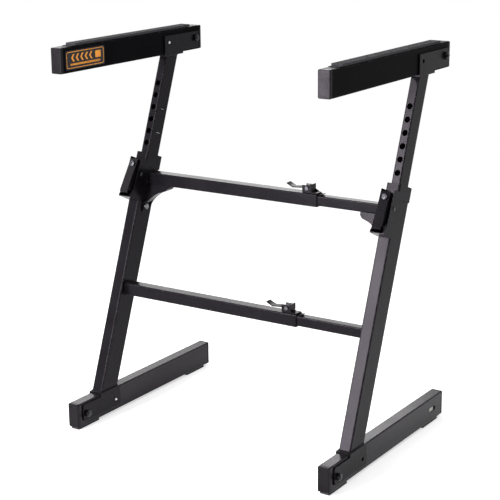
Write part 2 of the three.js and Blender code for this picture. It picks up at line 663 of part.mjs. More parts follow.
/** One side frame: its base, leg, latch and arm. */
function sideFrame(label, side) {
  const x = side * FRAME_SPACING / 2;
  const inward = -side;
  const named = (part) => `${label}_${part}`;
  const group = new THREE.Group();

  const baseMiddle = BASE_BOTTOM + BAR.height / 2;
  const baseRear = BASE_FRONT + BASE_LENGTH;
  const basePivotY = BASE_FRONT + PIVOT.fromBaseFront;
  const outside = x + side * BAR.width;
  const slot = plateX(
    roundedRectangle(STORAGE_SLOT.length, STORAGE_SLOT.height, STORAGE_SLOT.height / 2 - 0.01),
    Math.min(x, outside), Math.max(x, outside),
  ).translate([0, baseRear - STORAGE_SLOT.fromRear, baseMiddle]);
  const baseButtonY = basePivotY + LOCK_REACH;
  group.add(
    barTube(named("base_tube"), x, BASE_FRONT, BASE_LENGTH, BASE_BOTTOM, basePivotY, baseButtonY, [slot]),
    barCap(named("base_front_cap"), x, BASE_FRONT, BASE_BOTTOM, 1),
    barCap(named("base_rear_cap"), x, baseRear, BASE_BOTTOM, -1),
    foot(named("base_front_foot"), x, BASE_FRONT + FOOT.frontInset),
    foot(named("base_rear_foot"), x, baseRear - FOOT.rearInset - FOOT.length),
    pivotBolt(named("base_pivot_bolt"), x, basePivotY, baseMiddle),
    lockButton(named("base_lock_button"), x, baseButtonY, baseMiddle, inward),
  );
  const footBracket = piece(named("foot_bracket"), channelBracket(), steel());
  footBracket.position.set(x, basePivotY, baseMiddle);
  group.add(footBracket);

  const armMiddle = ARM_BOTTOM + BAR.height / 2;
  const armRear = ARM_FRONT + ARM_LENGTH;
  const armPivotY = armRear - PIVOT.fromArmRear;
  const armButtonY = armPivotY - LOCK_REACH;
  group.add(
    barTube(named("arm_tube"), x, ARM_FRONT, ARM_LENGTH, ARM_BOTTOM, armPivotY, armButtonY),
    barCap(named("arm_front_cap"), x, ARM_FRONT, ARM_BOTTOM, 1),
    barCap(named("arm_rear_cap"), x, armRear, ARM_BOTTOM, -1),
    armPad(named("arm_pad"), x),
    pivotBolt(named("arm_pivot_bolt"), x, armPivotY, armMiddle),
    lockButton(named("arm_lock_button"), x, armButtonY, armMiddle, inward),
  );
  const armBracket = piece(named("arm_bracket"), channelBracket(), steel());
  armBracket.position.set(x, armPivotY, armMiddle);
  armBracket.rotation.x = Math.PI; // the same bracket, turned end for end under the arm
  group.add(armBracket);

  const leg = legFrame(x);
  leg.add(
    lowerLeg(named("lower_leg"), leg),
    upperLeg(named("upper_leg"), leg),
    legBushing(named("leg_bushing")),
    latchHousing(named("latch_housing")),
    latchLever(named("latch_lever")),
    latchPin(named("latch_pin")),
    latchRivet(named("latch_rivet")),
    latchSpring(named("latch_spring")),
  );
  group.add(leg);
  return group;
}

/** One telescoping crossbar with its cam clamp. */
function crossbar(bar) {
  const { name, outerEnd } = bar;
  const outerLength = outerEnd + legInnerFace - GAP;
  const group = new THREE.Group();
  group.add(
    crossbarTube(`${name}_crossbar_outer`, bar, -1, CROSSBAR.outer, CROSSBAR.wall, outerLength),
    crossbarTube(`${name}_crossbar_inner`, bar, 1, CROSSBAR.inner, CROSSBAR.innerWall, CROSSBAR.innerReach),
    camSaddle(`${name}_cam_saddle`, bar),
    camLever(`${name}_cam_lever`, bar),
    camPin(`${name}_cam_pin`, bar),
    pressurePlate(`${name}_pressure_plate`, bar),
  );
  if (bar.gusset) {
    group.add(
      gussetBolt("left_gusset_bolt", bar, -1, CROSSBAR.outer),
      gussetBolt("right_gusset_bolt", bar, 1, CROSSBAR.inner),
    );
  }
  return group;
}

const stand = new THREE.Group();
stand.add(sideFrame("left", -1), sideFrame("right", 1));
CROSSBARS.forEach((bar) => stand.add(crossbar(bar)));

export default stand;
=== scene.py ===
"""The looks of a folding keyboard stand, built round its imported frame.

The stand has two Z-shaped side frames of rectangular steel tube. Each has a base on the floor, a
leaning leg that telescopes, and an arm with a pad. Two telescoping crossbars join the frames.
Lengths are in metres, +Z is up, the arms' free ends point to -Y and the left frame is at -X.
"""

import json
import logging
import math
from collections.abc import Callable, Iterable, Sequence
from dataclasses import dataclass, field
from enum import Enum
from typing import ClassVar

import bmesh
import bpy
import numpy as np
from mathutils import Matrix, Vector
from numpy.typing import NDArray

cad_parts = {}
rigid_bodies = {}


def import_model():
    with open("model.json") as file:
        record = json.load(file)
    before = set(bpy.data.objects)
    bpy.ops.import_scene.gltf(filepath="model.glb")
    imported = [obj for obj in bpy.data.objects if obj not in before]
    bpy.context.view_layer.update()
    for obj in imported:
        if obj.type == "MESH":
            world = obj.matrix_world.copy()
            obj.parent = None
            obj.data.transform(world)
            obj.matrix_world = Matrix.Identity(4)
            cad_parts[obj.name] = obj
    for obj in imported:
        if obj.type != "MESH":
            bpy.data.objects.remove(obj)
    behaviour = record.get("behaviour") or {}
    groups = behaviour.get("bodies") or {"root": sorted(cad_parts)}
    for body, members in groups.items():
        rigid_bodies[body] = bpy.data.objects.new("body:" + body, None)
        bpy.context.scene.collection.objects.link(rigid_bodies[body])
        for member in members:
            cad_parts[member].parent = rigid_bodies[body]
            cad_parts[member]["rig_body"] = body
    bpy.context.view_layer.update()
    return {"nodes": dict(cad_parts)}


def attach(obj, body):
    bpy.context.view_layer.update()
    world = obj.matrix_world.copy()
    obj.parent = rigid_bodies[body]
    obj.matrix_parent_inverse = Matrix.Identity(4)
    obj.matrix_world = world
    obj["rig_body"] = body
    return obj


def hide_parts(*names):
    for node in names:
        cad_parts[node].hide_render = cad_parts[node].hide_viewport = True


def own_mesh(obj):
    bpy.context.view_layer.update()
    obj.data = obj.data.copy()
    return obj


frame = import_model()

Array = NDArray[np.float64]
Colour = tuple[float, float, float]
Place = Callable[[Array], Array]
Profile = Sequence[tuple[float, float]]
Socket = bpy.types.NodeSocket

LOG = logging.getLogger("stand")
TINY = 1e-4  # the least radius of a corner
TOUCH = 1e-6  # vertices nearer than this are one
GAP = 0.0003  # between pieces that are welded or pressed together
SMOOTH_BELOW = math.radians(50)  # edges flatter than this are shaded smooth
QUARTER = math.pi / 2
ROUND = 2 * math.pi

LEAN = math.radians(20.7)  # of the legs, from the vertical
FRAME_HALF = 0.352  # from the middle of the stand to a side frame's middle plane
ARM_FRONT = -0.282  # the arms' free ends
ARM_LENGTH = 0.552
ARM_BOTTOM = 0.870
ARM_PIVOT_INSET = 0.030  # from an arm's rear end to its pivot bolt
BASE_FRONT = -0.276
BASE_LENGTH = 0.558
BASE_BOTTOM = 0.006
BASE_PIVOT_INSET = 0.032  # from a base's front end to its pivot bolt
STORAGE_INSET = 0.056  # from a base's rear end to its storage slot
BAR_WIDTH = 0.030
BAR_HEIGHT = 0.060
LEG_AT_FLOOR = BASE_FRONT + 0.0979  # where a leg's middle line meets the floor
WEB = 0.003  # a bracket's sheet, across the bar
CHEEK = 0.0035  # a bracket's sheet beside the bar, with its clearance
LOCK_REACH = 0.112  # from a pivot bolt to its lock button
PIN_ALONG = 0.634  # the latch pins, up the legs
INDEX_PITCH = 0.0305


class Side(Enum):
    """A side frame, with the sign of its place on X."""

    LEFT = -1
    RIGHT = 1

    @property
    def word(self) -> str:
        """The side's name, as the nodes' names begin."""
        return self.name.lower()

    @property
    def x(self) -> float:
        """The middle plane of the side frame."""
        return self.value * FRAME_HALF


class Wall(Enum):
    """A wall of a rectangular tube, by its order round the section."""

    TOP = 0
    LEFT = 1
    BOTTOM = 2
    RIGHT = 3


class Slot(Enum):
    """A material slot of the record."""

    STEEL = "black_steel"
    PLASTIC = "black_plastic"
    RUBBER = "black_rubber"
    ZINC = "bright_zinc"
    BLACKENED = "blackened_steel"


# ---- places ----


def leg_place(side: Side) -> Place:
    """Gives the move from a leg's own axes to the stand's.

    Args:
        side: the side frame that the leg belongs to.

    Returns:
        A function of points (across, depth to the rear, distance up the leg).
    """

    def place(points: Array) -> Array:
        """Leans points back and sets them on the leg's middle line.

        Args:
            points: (across, depth, along) points.

        Returns:
            The points in the stand's frame.
        """
        across, depth, along = np.moveaxis(points, -1, 0)
        y = LEG_AT_FLOOR + along * math.sin(LEAN) + depth * math.cos(LEAN)
        z = along * math.cos(LEAN) - depth * math.sin(LEAN)
        return np.stack([side.x + across, y, z], axis=-1)

    return place


def bar_place(x: float, y: float, z: float) -> Place:
    """Gives the move of points (across, up, along) to a bar that runs along Y from (x, y, z)."""
    return lambda points: points[..., [0, 2, 1]] + np.array([x, y, z])


def cross_place(x: float, y: float, z: float) -> Place:
    """Gives the move of points (across, up, along) to a bar that runs along X from (x, y, z)."""
    return lambda points: points[..., [2, 0, 1]] * np.array([1, -1, 1]) + np.array([x, y, z])


def axle_place(x: float, y: float, z: float, sign: int = 1) -> Place:
    """Gives the move of a turned part, whose axis is its third number, to an axis along X."""
    return lambda points: points[..., [2, 0, 1]] * np.array([sign, 1, 1]) + np.array([x, y, z])


# ---- surfaces ----


@dataclass
class Shell:
    """A surface put together from grids of points.

    Each vertex has a share of edge, 1 on a rounded corner and 0 on a flat, for the wear.
    """

    blocks: list[Array] = field(default_factory=list)
    edges: list[Array] = field(default_factory=list)
    faces: list[tuple[int, ...]] = field(default_factory=list)
    count: int = 0

    def _add(self, points: Array, edge: float | Array) -> Array:
        """Adds points.

        Args:
            points: a ring or a grid of points.
            edge: the share of edge of each, for all or by column.

        Returns:
            Their numbers, in the points' own grid.
        """
        size = points[..., 0].size
        numbers = np.arange(size).reshape(points.shape[:-1]) + self.count
        self.blocks.append(points.reshape(-1, 3))
        self.edges.append(np.broadcast_to(edge, points.shape[:-1]).ravel())
        self.count += size
        return numbers

    def grid(self, points: Array, loop: bool = False, ring: bool = False,
             edge: float | Array = 0.0) -> None:
        """Adds a grid of quads.

        Args:
            points: rows by columns by 3.
            loop: whether the last column joins the first.
            ring: whether the last row joins the first.
            edge: the share of edge of its vertices, for all or by column.
        """
        numbers = self._add(points, edge)
        if loop:
            numbers = np.hstack([numbers, numbers[:, :1]])
        if ring:
            numbers = np.vstack([numbers, numbers[:1]])
        corners = [numbers[:-1, :-1], numbers[:-1, 1:], numbers[1:, 1:], numbers[1:, :-1]]
        self.faces.extend(map(tuple, np.stack(corners, axis=-1).reshape(-1, 4).tolist()))

    def capped(self, rings: Array) -> None:
        """Adds a tube with a flat lid on each end.

        Args:
            rings: the tube's closed rings of points.
        """
        self.grid(rings, loop=True)
        for end in (rings[0], rings[-1]):
            self.faces.append(tuple(self._add(end, 0.0).tolist()))

    def moved(self, place: Place) -> "Shell":
        """The same surface, moved."""
        blocks = [place(block) for block in self.blocks]
        return Shell(blocks, list(self.edges), list(self.faces), self.count)

    def mesh(self, name: str) -> bpy.types.Mesh:
        """Writes the surface to a mesh, with its doubles merged and its faces turned outwards.

        Args:
            name: the mesh's name.

        Returns:
            The mesh, with an attribute named edge.
        """
        mesh = bpy.data.meshes.new(name)
        mesh.from_pydata(np.concatenate(self.blocks).tolist(), [], self.faces)
        mesh.attributes.new("edge", "FLOAT", "POINT")
        mesh.attributes["edge"].data.foreach_set("value", np.concatenate(self.edges))
        body = bmesh.new()
        body.from_mesh(mesh)
        bmesh.ops.remove_doubles(body, verts=body.verts, dist=TOUCH)
        bmesh.ops.recalc_face_normals(body, faces=body.faces)
        body.to_mesh(mesh)
        body.free()
        return mesh


def solid(*stacks: Array) -> Shell:
    """Makes a surface of closed tubes.

    Args:
        stacks: the rings of each tube.

    Returns:
        The surface.
    """
    shell = Shell()
    for rings in stacks:
        shell.capped(rings)
    return shell


def corner_arcs(width: float, height: float, corner: float, steps: int, shoulder: float) -> Array:
    """The four corners of a rounded rectangle, anticlockwise from (+, +).

    A corner is a quarter circle with one more point on the flat at each end, so that the
    shading of the corner doesn't spread over the flat.

    Args:
        width: size on the first axis.
        height: size on the second axis.
        corner: the corners' radius.
        steps: steps of each quarter circle.
        shoulder: how far the extra points lie from the arc.

    Returns:
        4 by (steps + 3) by 2 points.
    """
    signs = np.array([[1, 1], [-1, 1], [-1, -1], [1, -1]])
    centres = signs * (np.array([width, height]) / 2 - corner)
    turn = np.linspace(0, QUARTER, steps + 1)[None, :] + np.arange(4)[:, None] * QUARTER
    arcs = centres[:, None, :] + corner * np.stack([np.cos(turn), np.sin(turn)], axis=-1)
    along = np.stack([-np.sin(turn), np.cos(turn)], axis=-1)
    before = arcs[:, :1] - shoulder * along[:, :1]
    after = arcs[:, -1:] + shoulder * along[:, -1:]
    return np.concatenate([before, arcs, after], axis=1)


def outline(width: float, height: float, corner: float, steps: int = 5, shoulder: float = 0.0005) -> Array:
    """A rounded rectangle as one closed ring of points, as corner_arcs gives its corners."""
    return corner_arcs(width, height, max(corner, TINY), steps, shoulder).reshape(-1, 2)


def soft_ends(length: float, edge: float, steps: int = 4, shoulder: float = 0.0004) -> Array:
    """Places along a bar, with how far its section is drawn in there, for rounded end edges.

    Each end is a quarter circle: at turn t the section stands edge * (1 - cos t) from the end
    and is drawn in by edge * (1 - sin t).

    Args:
        length: the bar's whole length.
        edge: the radius of the edges.
        steps: steps of each quarter circle.
        shoulder: how far the extra ring on the flat lies from the arc.

    Returns:
        Rows of (place along, drawn in), from 0 to length.
    """
    turn = np.linspace(0, QUARTER, steps + 1)
    start = np.column_stack([edge * (1 - np.cos(turn)), edge * (1 - np.sin(turn))])
    start = np.vstack([[0, edge + shoulder], start, [edge + shoulder, 0]])
    end = start[::-1] * np.array([-1, 1]) + np.array([length, 0])
    return np.vstack([start, end])


def bar_rings(width: float, height: float, corner: float, ends: Array, steps: int = 5) -> Array:
    """Rings of a rounded rectangle along a bar.

    Args:
        width: the section's width.
        height: its height.
        corner: the radius of its corners.
        ends: rows of (place along, drawn in), as soft_ends gives them.
        steps: steps of each corner.

    Returns:
        Rings of (across, up, along) points.
    """
    rings = [
        np.column_stack([outline(width - 2 * inset, height - 2 * inset, corner - inset, steps),
                         np.full(4 * (steps + 3), along)])
        for along, inset in ends
    ]
    return np.stack(rings)


def turned(profile: Profile, sides: int = 32, flats: float = 0.0) -> Array:
    """Rings of a turned part round the third axis.

    The radius at a turn is the profile's, and where flats is given at most that of a hexagon
    with that size across its flats: flats / 2 / cos(turn, folded into 30 degrees each way).

    Args:
        profile: (distance along the axis, radius) pairs.
        sides: points round the part.
        flats: the hexagon's size across its flats, or 0.

    Returns:
        One ring of points for each pair.
    """
    distance, radius = np.array(profile, float).T
    turn = np.linspace(0, ROUND, sides, endpoint=False)
    reach = np.repeat(radius[:, None], sides, axis=1)
    if flats:
        sixth = math.pi / 3
        folded = (turn + sixth / 2) % sixth - sixth / 2
        reach = np.minimum(reach, flats / 2 / np.cos(folded))
    return np.stack([reach * np.cos(turn), reach * np.sin(turn),
                     np.repeat(distance[:, None], sides, axis=1)], axis=-1)


def dome(radius: float, height: float, start: float, steps: int = 5) -> list[tuple[float, float]]:
    """A profile of a low dome: at turn t it stands height * sin t over start, radius * cos t wide."""
    turns = np.linspace(0, QUARTER, steps + 1)[:-1]
    return [(start + height * math.sin(t), radius * math.cos(t)) for t in turns] + [(start + height, TINY)]


@dataclass(frozen=True)
class Hole:
    """A round or long hole in a tube's wall, in the middle of a tile of the wall."""

    along: float
    radius: float
    tile: float  # half the length of the tile
    straight: float = 0.0  # half the length of a long hole's straight sides

    ROWS: ClassVar[int] = 8
    COLUMNS: ClassVar[int] = 6

    def rings(self, width: float) -> Array:
        """Rings of (across, along) points from the hole's edge to the tile's edge.

        The hole's point for a point of the tile's edge is the nearest on the hole: its centre
        line's nearest point, plus the radius towards the tile's edge. The rings between lie on
        the straight lines that join the two.

        Args:
            width: the tile's width, which is the wall's flat width.

        Returns:
            Three closed rings.
        """
        u = np.linspace(-width / 2, width / 2, self.COLUMNS + 1)
        s = np.linspace(-self.tile, self.tile, self.ROWS + 1)
        border = np.vstack([
            np.column_stack([u[:-1], np.full(self.COLUMNS, s[0])]),
            np.column_stack([np.full(self.ROWS, u[-1]), s[:-1]]),
            np.column_stack([u[::-1][:-1], np.full(self.COLUMNS, s[-1])]),
            np.column_stack([np.full(self.ROWS, u[0]), s[::-1][:-1]]),
        ])
        nearest = np.column_stack([
            np.zeros(len(border)), np.clip(border[:, 1], -self.straight, self.straight),
        ])
        ray = border - nearest
        rim = nearest + self.radius * ray / np.linalg.norm(ray, axis=1, keepdims=True)
        shares = np.array([0.0, 0.15, 1.0])[:, None, None]
        return rim + shares * (border - rim) + np.array([0, self.along])


@dataclass
class Tube:
    """A rectangular tube as a skin that is given its wall's thickness afterwards.

    Points are (across, up, along). The section is a rounded rectangle of width by height. An
    end that is cut aslant moves along by shear for each unit of up.
    """

    width: float
    height: float
    corner: float
    start: float
    end: float
    holes: dict[Wall, list[Hole]] = field(default_factory=dict)
    shear: float = 0.0
    aslant: float | None = None  # the end that is cut aslant, as its place along

    STEPS: ClassVar[int] = 5
    SHOULDER: ClassVar[float] = 0.0006

    def shell(self) -> Shell:
        """Builds the skin: four corner strips and four walls, with a tile round each hole.

        Returns:
            The skin, open at both ends.
        """
        drilled = [hole for holes in self.holes.values() for hole in holes]
        tiles = [hole.along + np.linspace(-hole.tile, hole.tile, Hole.ROWS + 1) for hole in drilled]
        stations = np.unique(np.round(np.concatenate([[self.start, self.end], *tiles]), 7))
        corners = corner_arcs(self.width, self.height, self.corner, self.STEPS, self.SHOULDER)
        shell = Shell()
        for wall in Wall:
            strip = corners[wall.value]
            shell.grid(self._swept(strip, stations), edge=np.pad(np.ones(len(strip) - 2), 1))
            following = corners[(wall.value + 1) % 4][0]
            self._wall(shell, strip[-1], following, stations, self.holes.get(wall, []))
        return shell

    def _swept(self, section: Array, stations: Array) -> Array:
        """Carries a section along the tube, and moves the points of an end that is cut aslant.

        Args:
            section: points of the section, as (across, up).
            stations: the places along the tube.

        Returns:
            A grid of stations by section points.
        """
        across = np.repeat(section[None], len(stations), axis=0)
        along = np.repeat(stations[:, None, None], len(section), axis=1)
        points = np.concatenate([across, along], axis=-1)
        if self.aslant is not None:
            cut = np.isclose(points[..., 2], self.aslant, atol=TOUCH)
            points[..., 2] += np.where(cut, self.shear * points[..., 1], 0.0)
        return points

    def _wall(self, shell: Shell, a: Array, b: Array, stations: Array, holes: list[Hole]) -> None:
        """Adds one flat wall between two points of the section.

        Args:
            shell: the surface to add to.
            a: the section point where the wall starts.
            b: the section point where it ends.
            stations: the tube's stations.
            holes: the wall's holes, in order along the tube.
        """
        width = float(np.linalg.norm(b - a))
        shares = np.linspace(0, 1, (Hole.COLUMNS if holes else 1) + 1)[:, None]
        section = a + shares * (b - a)
        edges = [self.start]
        for hole in holes:
            edges += [hole.along - hole.tile, hole.along + hole.tile]
            flat = hole.rings(width)
            share = (flat[..., :1] + width / 2) / width
            shell.grid(np.concatenate([a + share * (b - a), flat[..., 1:]], axis=-1), loop=True)
        edges.append(self.end)
        for low, high in zip(edges[::2], edges[1::2]):
            between = stations[(stations >= low - TOUCH) & (stations <= high + TOUCH)]
            if len(between) > 1:
                shell.grid(self._swept(section, between))


def weld_bead(path: Array, outward: Array, axis: Sequence[float], radius: float, waves: int) -> Shell:
    """A weld bead along a closed path.

    Its section is a circle of radius * (1 + 0.14 * sin(waves * turn)), turned about the path.

    Args:
        path: the closed path's points.
        outward: directions away from the tube, of any length.
        axis: the tube's direction.
        radius: the bead's mean radius.
        waves: how many ripples there are.

    Returns:
        The bead's surface, closed both ways.
    """
    ripple, sides = 0.14, 10
    outward = outward / np.linalg.norm(outward, axis=1, keepdims=True)
    turn = np.linspace(0, ROUND, len(path), endpoint=False)[:, None, None]
    around = np.linspace(0, ROUND, sides, endpoint=False)[None, :, None]
    swell = radius * (1 + ripple * np.sin(waves * turn))
    shell = Shell()
    shell.grid(path[:, None] + swell * (np.cos(around) * outward[:, None] + np.sin(around) * np.array(axis)),
               loop=True, ring=True)
    return shell


def spread(ring: Array, points: int) -> Array:
    """Spreads points evenly along a closed ring.

    Args:
        ring: the ring's corners.
        points: how many points to spread.

    Returns:
        The new ring.
    """
    closed = np.vstack([ring, ring[:1]])
    run = np.concatenate([[0], np.cumsum(np.linalg.norm(np.diff(closed, axis=0), axis=1))])
    at = np.linspace(0, run[-1], points, endpoint=False)
    return np.column_stack([np.interp(at, run, closed[:, k]) for k in range(2)])


# ---- finishes ----


class NodeDesk:
    """A node tree being built: it adds nodes, sets their values and joins their sockets."""

    def __init__(self, tree: bpy.types.NodeTree) -> None:
        """Starts on an empty tree."""
        self.tree = tree
        tree.nodes.clear()

    def add(self, kind: str, values: dict | None = None, **settings: object) -> bpy.types.Node:
        """Adds a node.

        Args:
            kind: the node's type.
            values: what each input gets, by name or number: a value, or a socket to join.
            settings: the node's own properties.

        Returns:
            The node.
        """
        node = self.tree.nodes.new(kind)
        for name, value in settings.items():
            setattr(node, name, value)
        for key, value in (values or {}).items():
            if isinstance(value, Socket):
                self.tree.links.new(value, node.inputs[key])
            else:
                node.inputs[key].default_value = value
        return node

    def sum(self, operation: str, *terms: float | Socket) -> Socket:
        """The result of a math node."""
        return self.add("ShaderNodeMath", dict(enumerate(terms)), operation=operation).outputs[0]

    def noise(self, scale: float | Socket, detail: float) -> Socket:
        """Noise in Object coordinates."""
        place = self.add("ShaderNodeTexCoord").outputs["Object"]
        return self.add("ShaderNodeTexNoise", {"Vector": place, "Scale": scale, "Detail": detail}).outputs[0]

    def remap(self, value: Socket, low: float, high: float, start: float = 0.0, end: float = 1.0) -> Socket:
        """A value that goes from start to end while the given one goes from low to high."""
        return self.add("ShaderNodeMapRange", {
            "Value": value, "From Min": low, "From Max": high, "To Min": start, "To Max": end,
        }).outputs[0]

    def group(self, name: str, **values: float) -> Socket:
        """The output of a shared group that gets these values."""
        return self.add("ShaderNodeGroup", values, node_tree=bpy.data.node_groups[name]).outputs[0]

    def mixed(self, share: Socket, a: Colour | Socket, b: Colour | Socket) -> Socket:
        """Two colours mixed by a share."""
        sides = {key: side if isinstance(side, Socket) else (*side, 1) for key, side in ((6, a), (7, b))}
        return self.add("ShaderNodeMix", {0: share, **sides}, data_type="RGBA").outputs[2]


def clouds(desk: NodeDesk, given: bpy.types.bpy_prop_collection) -> Socket:
    """Soft clouds from 0 to 1, for the unevenness of a colour or a gloss."""
    return desk.remap(desk.noise(desk.sum("DIVIDE", 1.0, given["Size"]), 4.0), 0.32, 0.68)


def grain(desk: NodeDesk, given: bpy.types.bpy_prop_collection) -> Socket:
    """The fine relief of a coat or a moulding: noise, with a coarser flow under it.

    Args:
        desk: the group's desk.
        given: the group's inputs.

    Returns:
        The group's output.
    """
    scale = desk.sum("DIVIDE", 1.0, given["Size"])
    flow = desk.noise(desk.sum("MULTIPLY", scale, 0.12), 1.0)
    return desk.sum("ADD", desk.noise(scale, 2.0), desk.sum("MULTIPLY", flow, given["Flow"]))


def dust(desk: NodeDesk, given: bpy.types.bpy_prop_collection) -> Socket:
    """Dust that settles on faces that look up, broken up by noise.

    Args:
        desk: the group's desk.
        given: the group's inputs.

    Returns:
        The group's output.
    """
    normal = desk.add("ShaderNodeTexCoord").outputs["Normal"]
    upward = desk.remap(desk.add("ShaderNodeSeparateXYZ", {0: normal}).outputs[2], 0.75, 1.0)
    broken = desk.remap(desk.noise(90.0, 6.0), 0.35, 0.75)
    return desk.sum("MULTIPLY", desk.sum("MULTIPLY", upward, broken), given["Amount"])


def wear(desk: NodeDesk, given: bpy.types.bpy_prop_collection) -> Socket:
    """Rubbed corners: the edge attribute, broken up by noise.

    Args:
        desk: the group's desk.
        given: the group's inputs.

    Returns:
        The group's output.
    """
    edge = desk.add("ShaderNodeAttribute", attribute_name="edge").outputs["Fac"]
    broken = desk.remap(desk.noise(160.0, 5.0), 0.45, 0.7)
    return desk.sum("MULTIPLY", desk.sum("MULTIPLY", edge, broken), given["Amount"])


def share_group(name: str, inputs: dict[str, float], make: Callable[..., Socket]) -> None:
    """Makes a shader node group that every finish shares.

    Args:
        name: the group's name.
        inputs: its inputs, with the value that each starts at.
        make: builds its nodes from its desk and its inputs, and gives its one output.
    """
    tree = bpy.data.node_groups.new(name, "ShaderNodeTree")
    for key, value in inputs.items():
        socket = tree.interface.new_socket(key, in_out="INPUT", socket_type="NodeSocketFloat")
        socket.default_value = value
    tree.interface.new_socket("Share", in_out="OUTPUT", socket_type="NodeSocketFloat")
    desk = NodeDesk(tree)
    given = desk.add("NodeGroupInput").outputs
    desk.add("NodeGroupOutput", {"Share": make(desk, given)})


share_group("clouding", {"Size": 0.05}, clouds)
share_group("grain", {"Size": 0.001, "Flow": 0.3}, grain)
share_group("settled_dust", {"Amount": 0.2}, dust)
share_group("rubbed_corners", {"Amount": 0.3}, wear)

DUST_SHADE = (0.16, 0.15, 0.14)
RUBBED_SHADE = (0.06, 0.06, 0.065)
DUST_DULLS = 0.4  # the roughness that a full layer of dust adds
MAUVE = (0.98, 0.87, 1.0)


@dataclass(frozen=True)
class Finish:
    """A surface finish: two shades that cloud into each other, a gloss and a fine relief."""

    name: str
    slot: Slot
    dark: Colour
    light: Colour
    gloss: tuple[float, float]  # roughness of the dark and of the light clouds
    metallic: float = 0.0
    specular: float = 0.5
    cloud: float = 0.006
    grain: float = 0.0006
    relief: float = 0.00001
    dust: float = 0.0
    rubbed: float = 0.0
    tint: Colour = (1.0, 1.0, 1.0)  # of the gloss

    def material(self) -> bpy.types.Material:
        """The finish's material, made once.

        Returns:
            A material whose colour, roughness and normal come from the shared groups.
        """
        known = bpy.data.materials.get(self.name)
        if known:
            return known
        material = bpy.data.materials.new(self.name)
        material.use_nodes = True
        desk = NodeDesk(material.node_tree)
        cloud = desk.group("clouding", Size=self.cloud)
        dusty = desk.group("settled_dust", Amount=self.dust)
        worn = desk.group("rubbed_corners", Amount=self.rubbed)
        height = desk.group("grain", Size=self.grain)
        dusted = desk.mixed(dusty, desk.mixed(cloud, self.dark, self.light), DUST_SHADE)
        rough = desk.remap(cloud, 0.0, 1.0, *self.gloss)
        bump = desk.add("ShaderNodeBump", {"Height": height, "Distance": self.relief, "Strength": 1.0})
        surface = desk.add("ShaderNodeBsdfPrincipled", {
            "Base Color": desk.mixed(worn, dusted, RUBBED_SHADE),
            "Roughness": desk.sum("MULTIPLY_ADD", dusty, DUST_DULLS, rough), "Normal": bump.outputs[0],
            "Metallic": self.metallic, "Specular IOR Level": self.specular,
            "Specular Tint": (*self.tint, 1),
        })
        desk.add("ShaderNodeOutputMaterial", {"Surface": surface.outputs[0]})
        return material


def coat(name: str, dark: Colour, light: Colour, gloss: tuple[float, float], specular: float,
         settled: float, rubbed: float) -> Finish:
    """The stand's black powder coat, copied for one kind of piece: every copy is the same paint, and a copy
    painted lighter carries painted light, one painted darker painted shade. See Finish for the rest.
    """
    return Finish(name, Slot.STEEL, dark, light, gloss, specular=specular, cloud=0.09, grain=0.0008,
                  relief=0.000008, dust=settled, rubbed=rubbed, tint=MAUVE)


# The legs' coat. The copies below are the same paint: the bases' has painted light in its colour, the
# crossbars' and the arms' have painted shade.
COAT = coat("powder_coat", (0.0050, 0.0044, 0.0056), (0.0074, 0.0066, 0.0083), (0.20, 0.26),
            0.075, 0.05, 0.35)
# Painted light: the bases' coat is the legs' paint with a lighter colour.
LIT_BASE_COAT = coat("base_coat", (0.0060, 0.0053, 0.0066), (0.0090, 0.0080, 0.0098), (0.22, 0.28),
                 0.15, 0.05, 0.4)
# Painted shade: the crossbars' coat is the legs' paint with a darker colour.
SHADED_CROSS_COAT = coat("crossbar_coat", (0.0036, 0.0032, 0.0042), (0.0052, 0.0047, 0.0060), (0.22, 0.29),
                  0.078, 0.04, 0.35)
# Painted shade: the arms' coat is the legs' paint with a much darker colour.
SHADED_ARM_COAT = coat("arm_coat", (0.0024, 0.0021, 0.0026), (0.0034, 0.0031, 0.0038), (0.30, 0.38),
                0.012, 0.03, 0.3)
PRESSED = Finish(
    "pressed_coat", Slot.STEEL, (0.0042, 0.0037, 0.0047), (0.0064, 0.0057, 0.0072), (0.24, 0.31),
    specular=0.08, cloud=0.05, grain=0.0007, dust=0.04, rubbed=0.6, tint=MAUVE,
)
PLASTIC = Finish(
    "moulded_plastic", Slot.PLASTIC, (0.0062, 0.0056, 0.0066), (0.0090, 0.0082, 0.0096), (0.26, 0.34),
    specular=0.08, cloud=0.03, relief=0.00002, dust=0.06, tint=MAUVE,
)
RUBBER = Finish(
    "black_rubber", Slot.RUBBER, (0.0060, 0.0060, 0.0062), (0.0105, 0.0105, 0.0110), (0.72, 0.86),
    specular=0.28, cloud=0.02, grain=0.0005, relief=0.00006, dust=0.25,
)
ZINC = Finish("zinc_plate", Slot.ZINC, (0.50, 0.51, 0.53), (0.66, 0.67, 0.69), (0.22, 0.36), metallic=1.0)
DULL_ZINC = Finish("dull_zinc", Slot.ZINC, (0.13, 0.13, 0.14), (0.22, 0.22, 0.23), (0.38, 0.50), metallic=0.9)
BOLT_END = Finish(
    "bolt_end", Slot.BLACKENED, (0.022, 0.022, 0.024), (0.040, 0.040, 0.043), (0.26, 0.36),
    metallic=0.95, cloud=0.004, grain=0.0005,
)
BLACKENED = Finish(
    "blackened_steel", Slot.BLACKENED, (0.010, 0.010, 0.011), (0.019, 0.019, 0.021), (0.30, 0.42),
    metallic=0.85,
)
NYLON = Finish("pale_nylon", Slot.PLASTIC, (0.50, 0.48, 0.42), (0.62, 0.60, 0.54), (0.45, 0.55), cloud=0.01)
INK = Finish(
    "orange_ink", Slot.STEEL, (0.88, 0.30, 0.010), (0.95, 0.37, 0.018), (0.34, 0.40),
    cloud=0.02, grain=0.0009, relief=0.000004,
)
FILM = Finish(
    "black_film", Slot.STEEL, (0.0045, 0.0043, 0.0050), (0.0060, 0.0058, 0.0066), (0.28, 0.34),
    specular=0.25, cloud=0.05, grain=0.003, relief=0.000004,
)
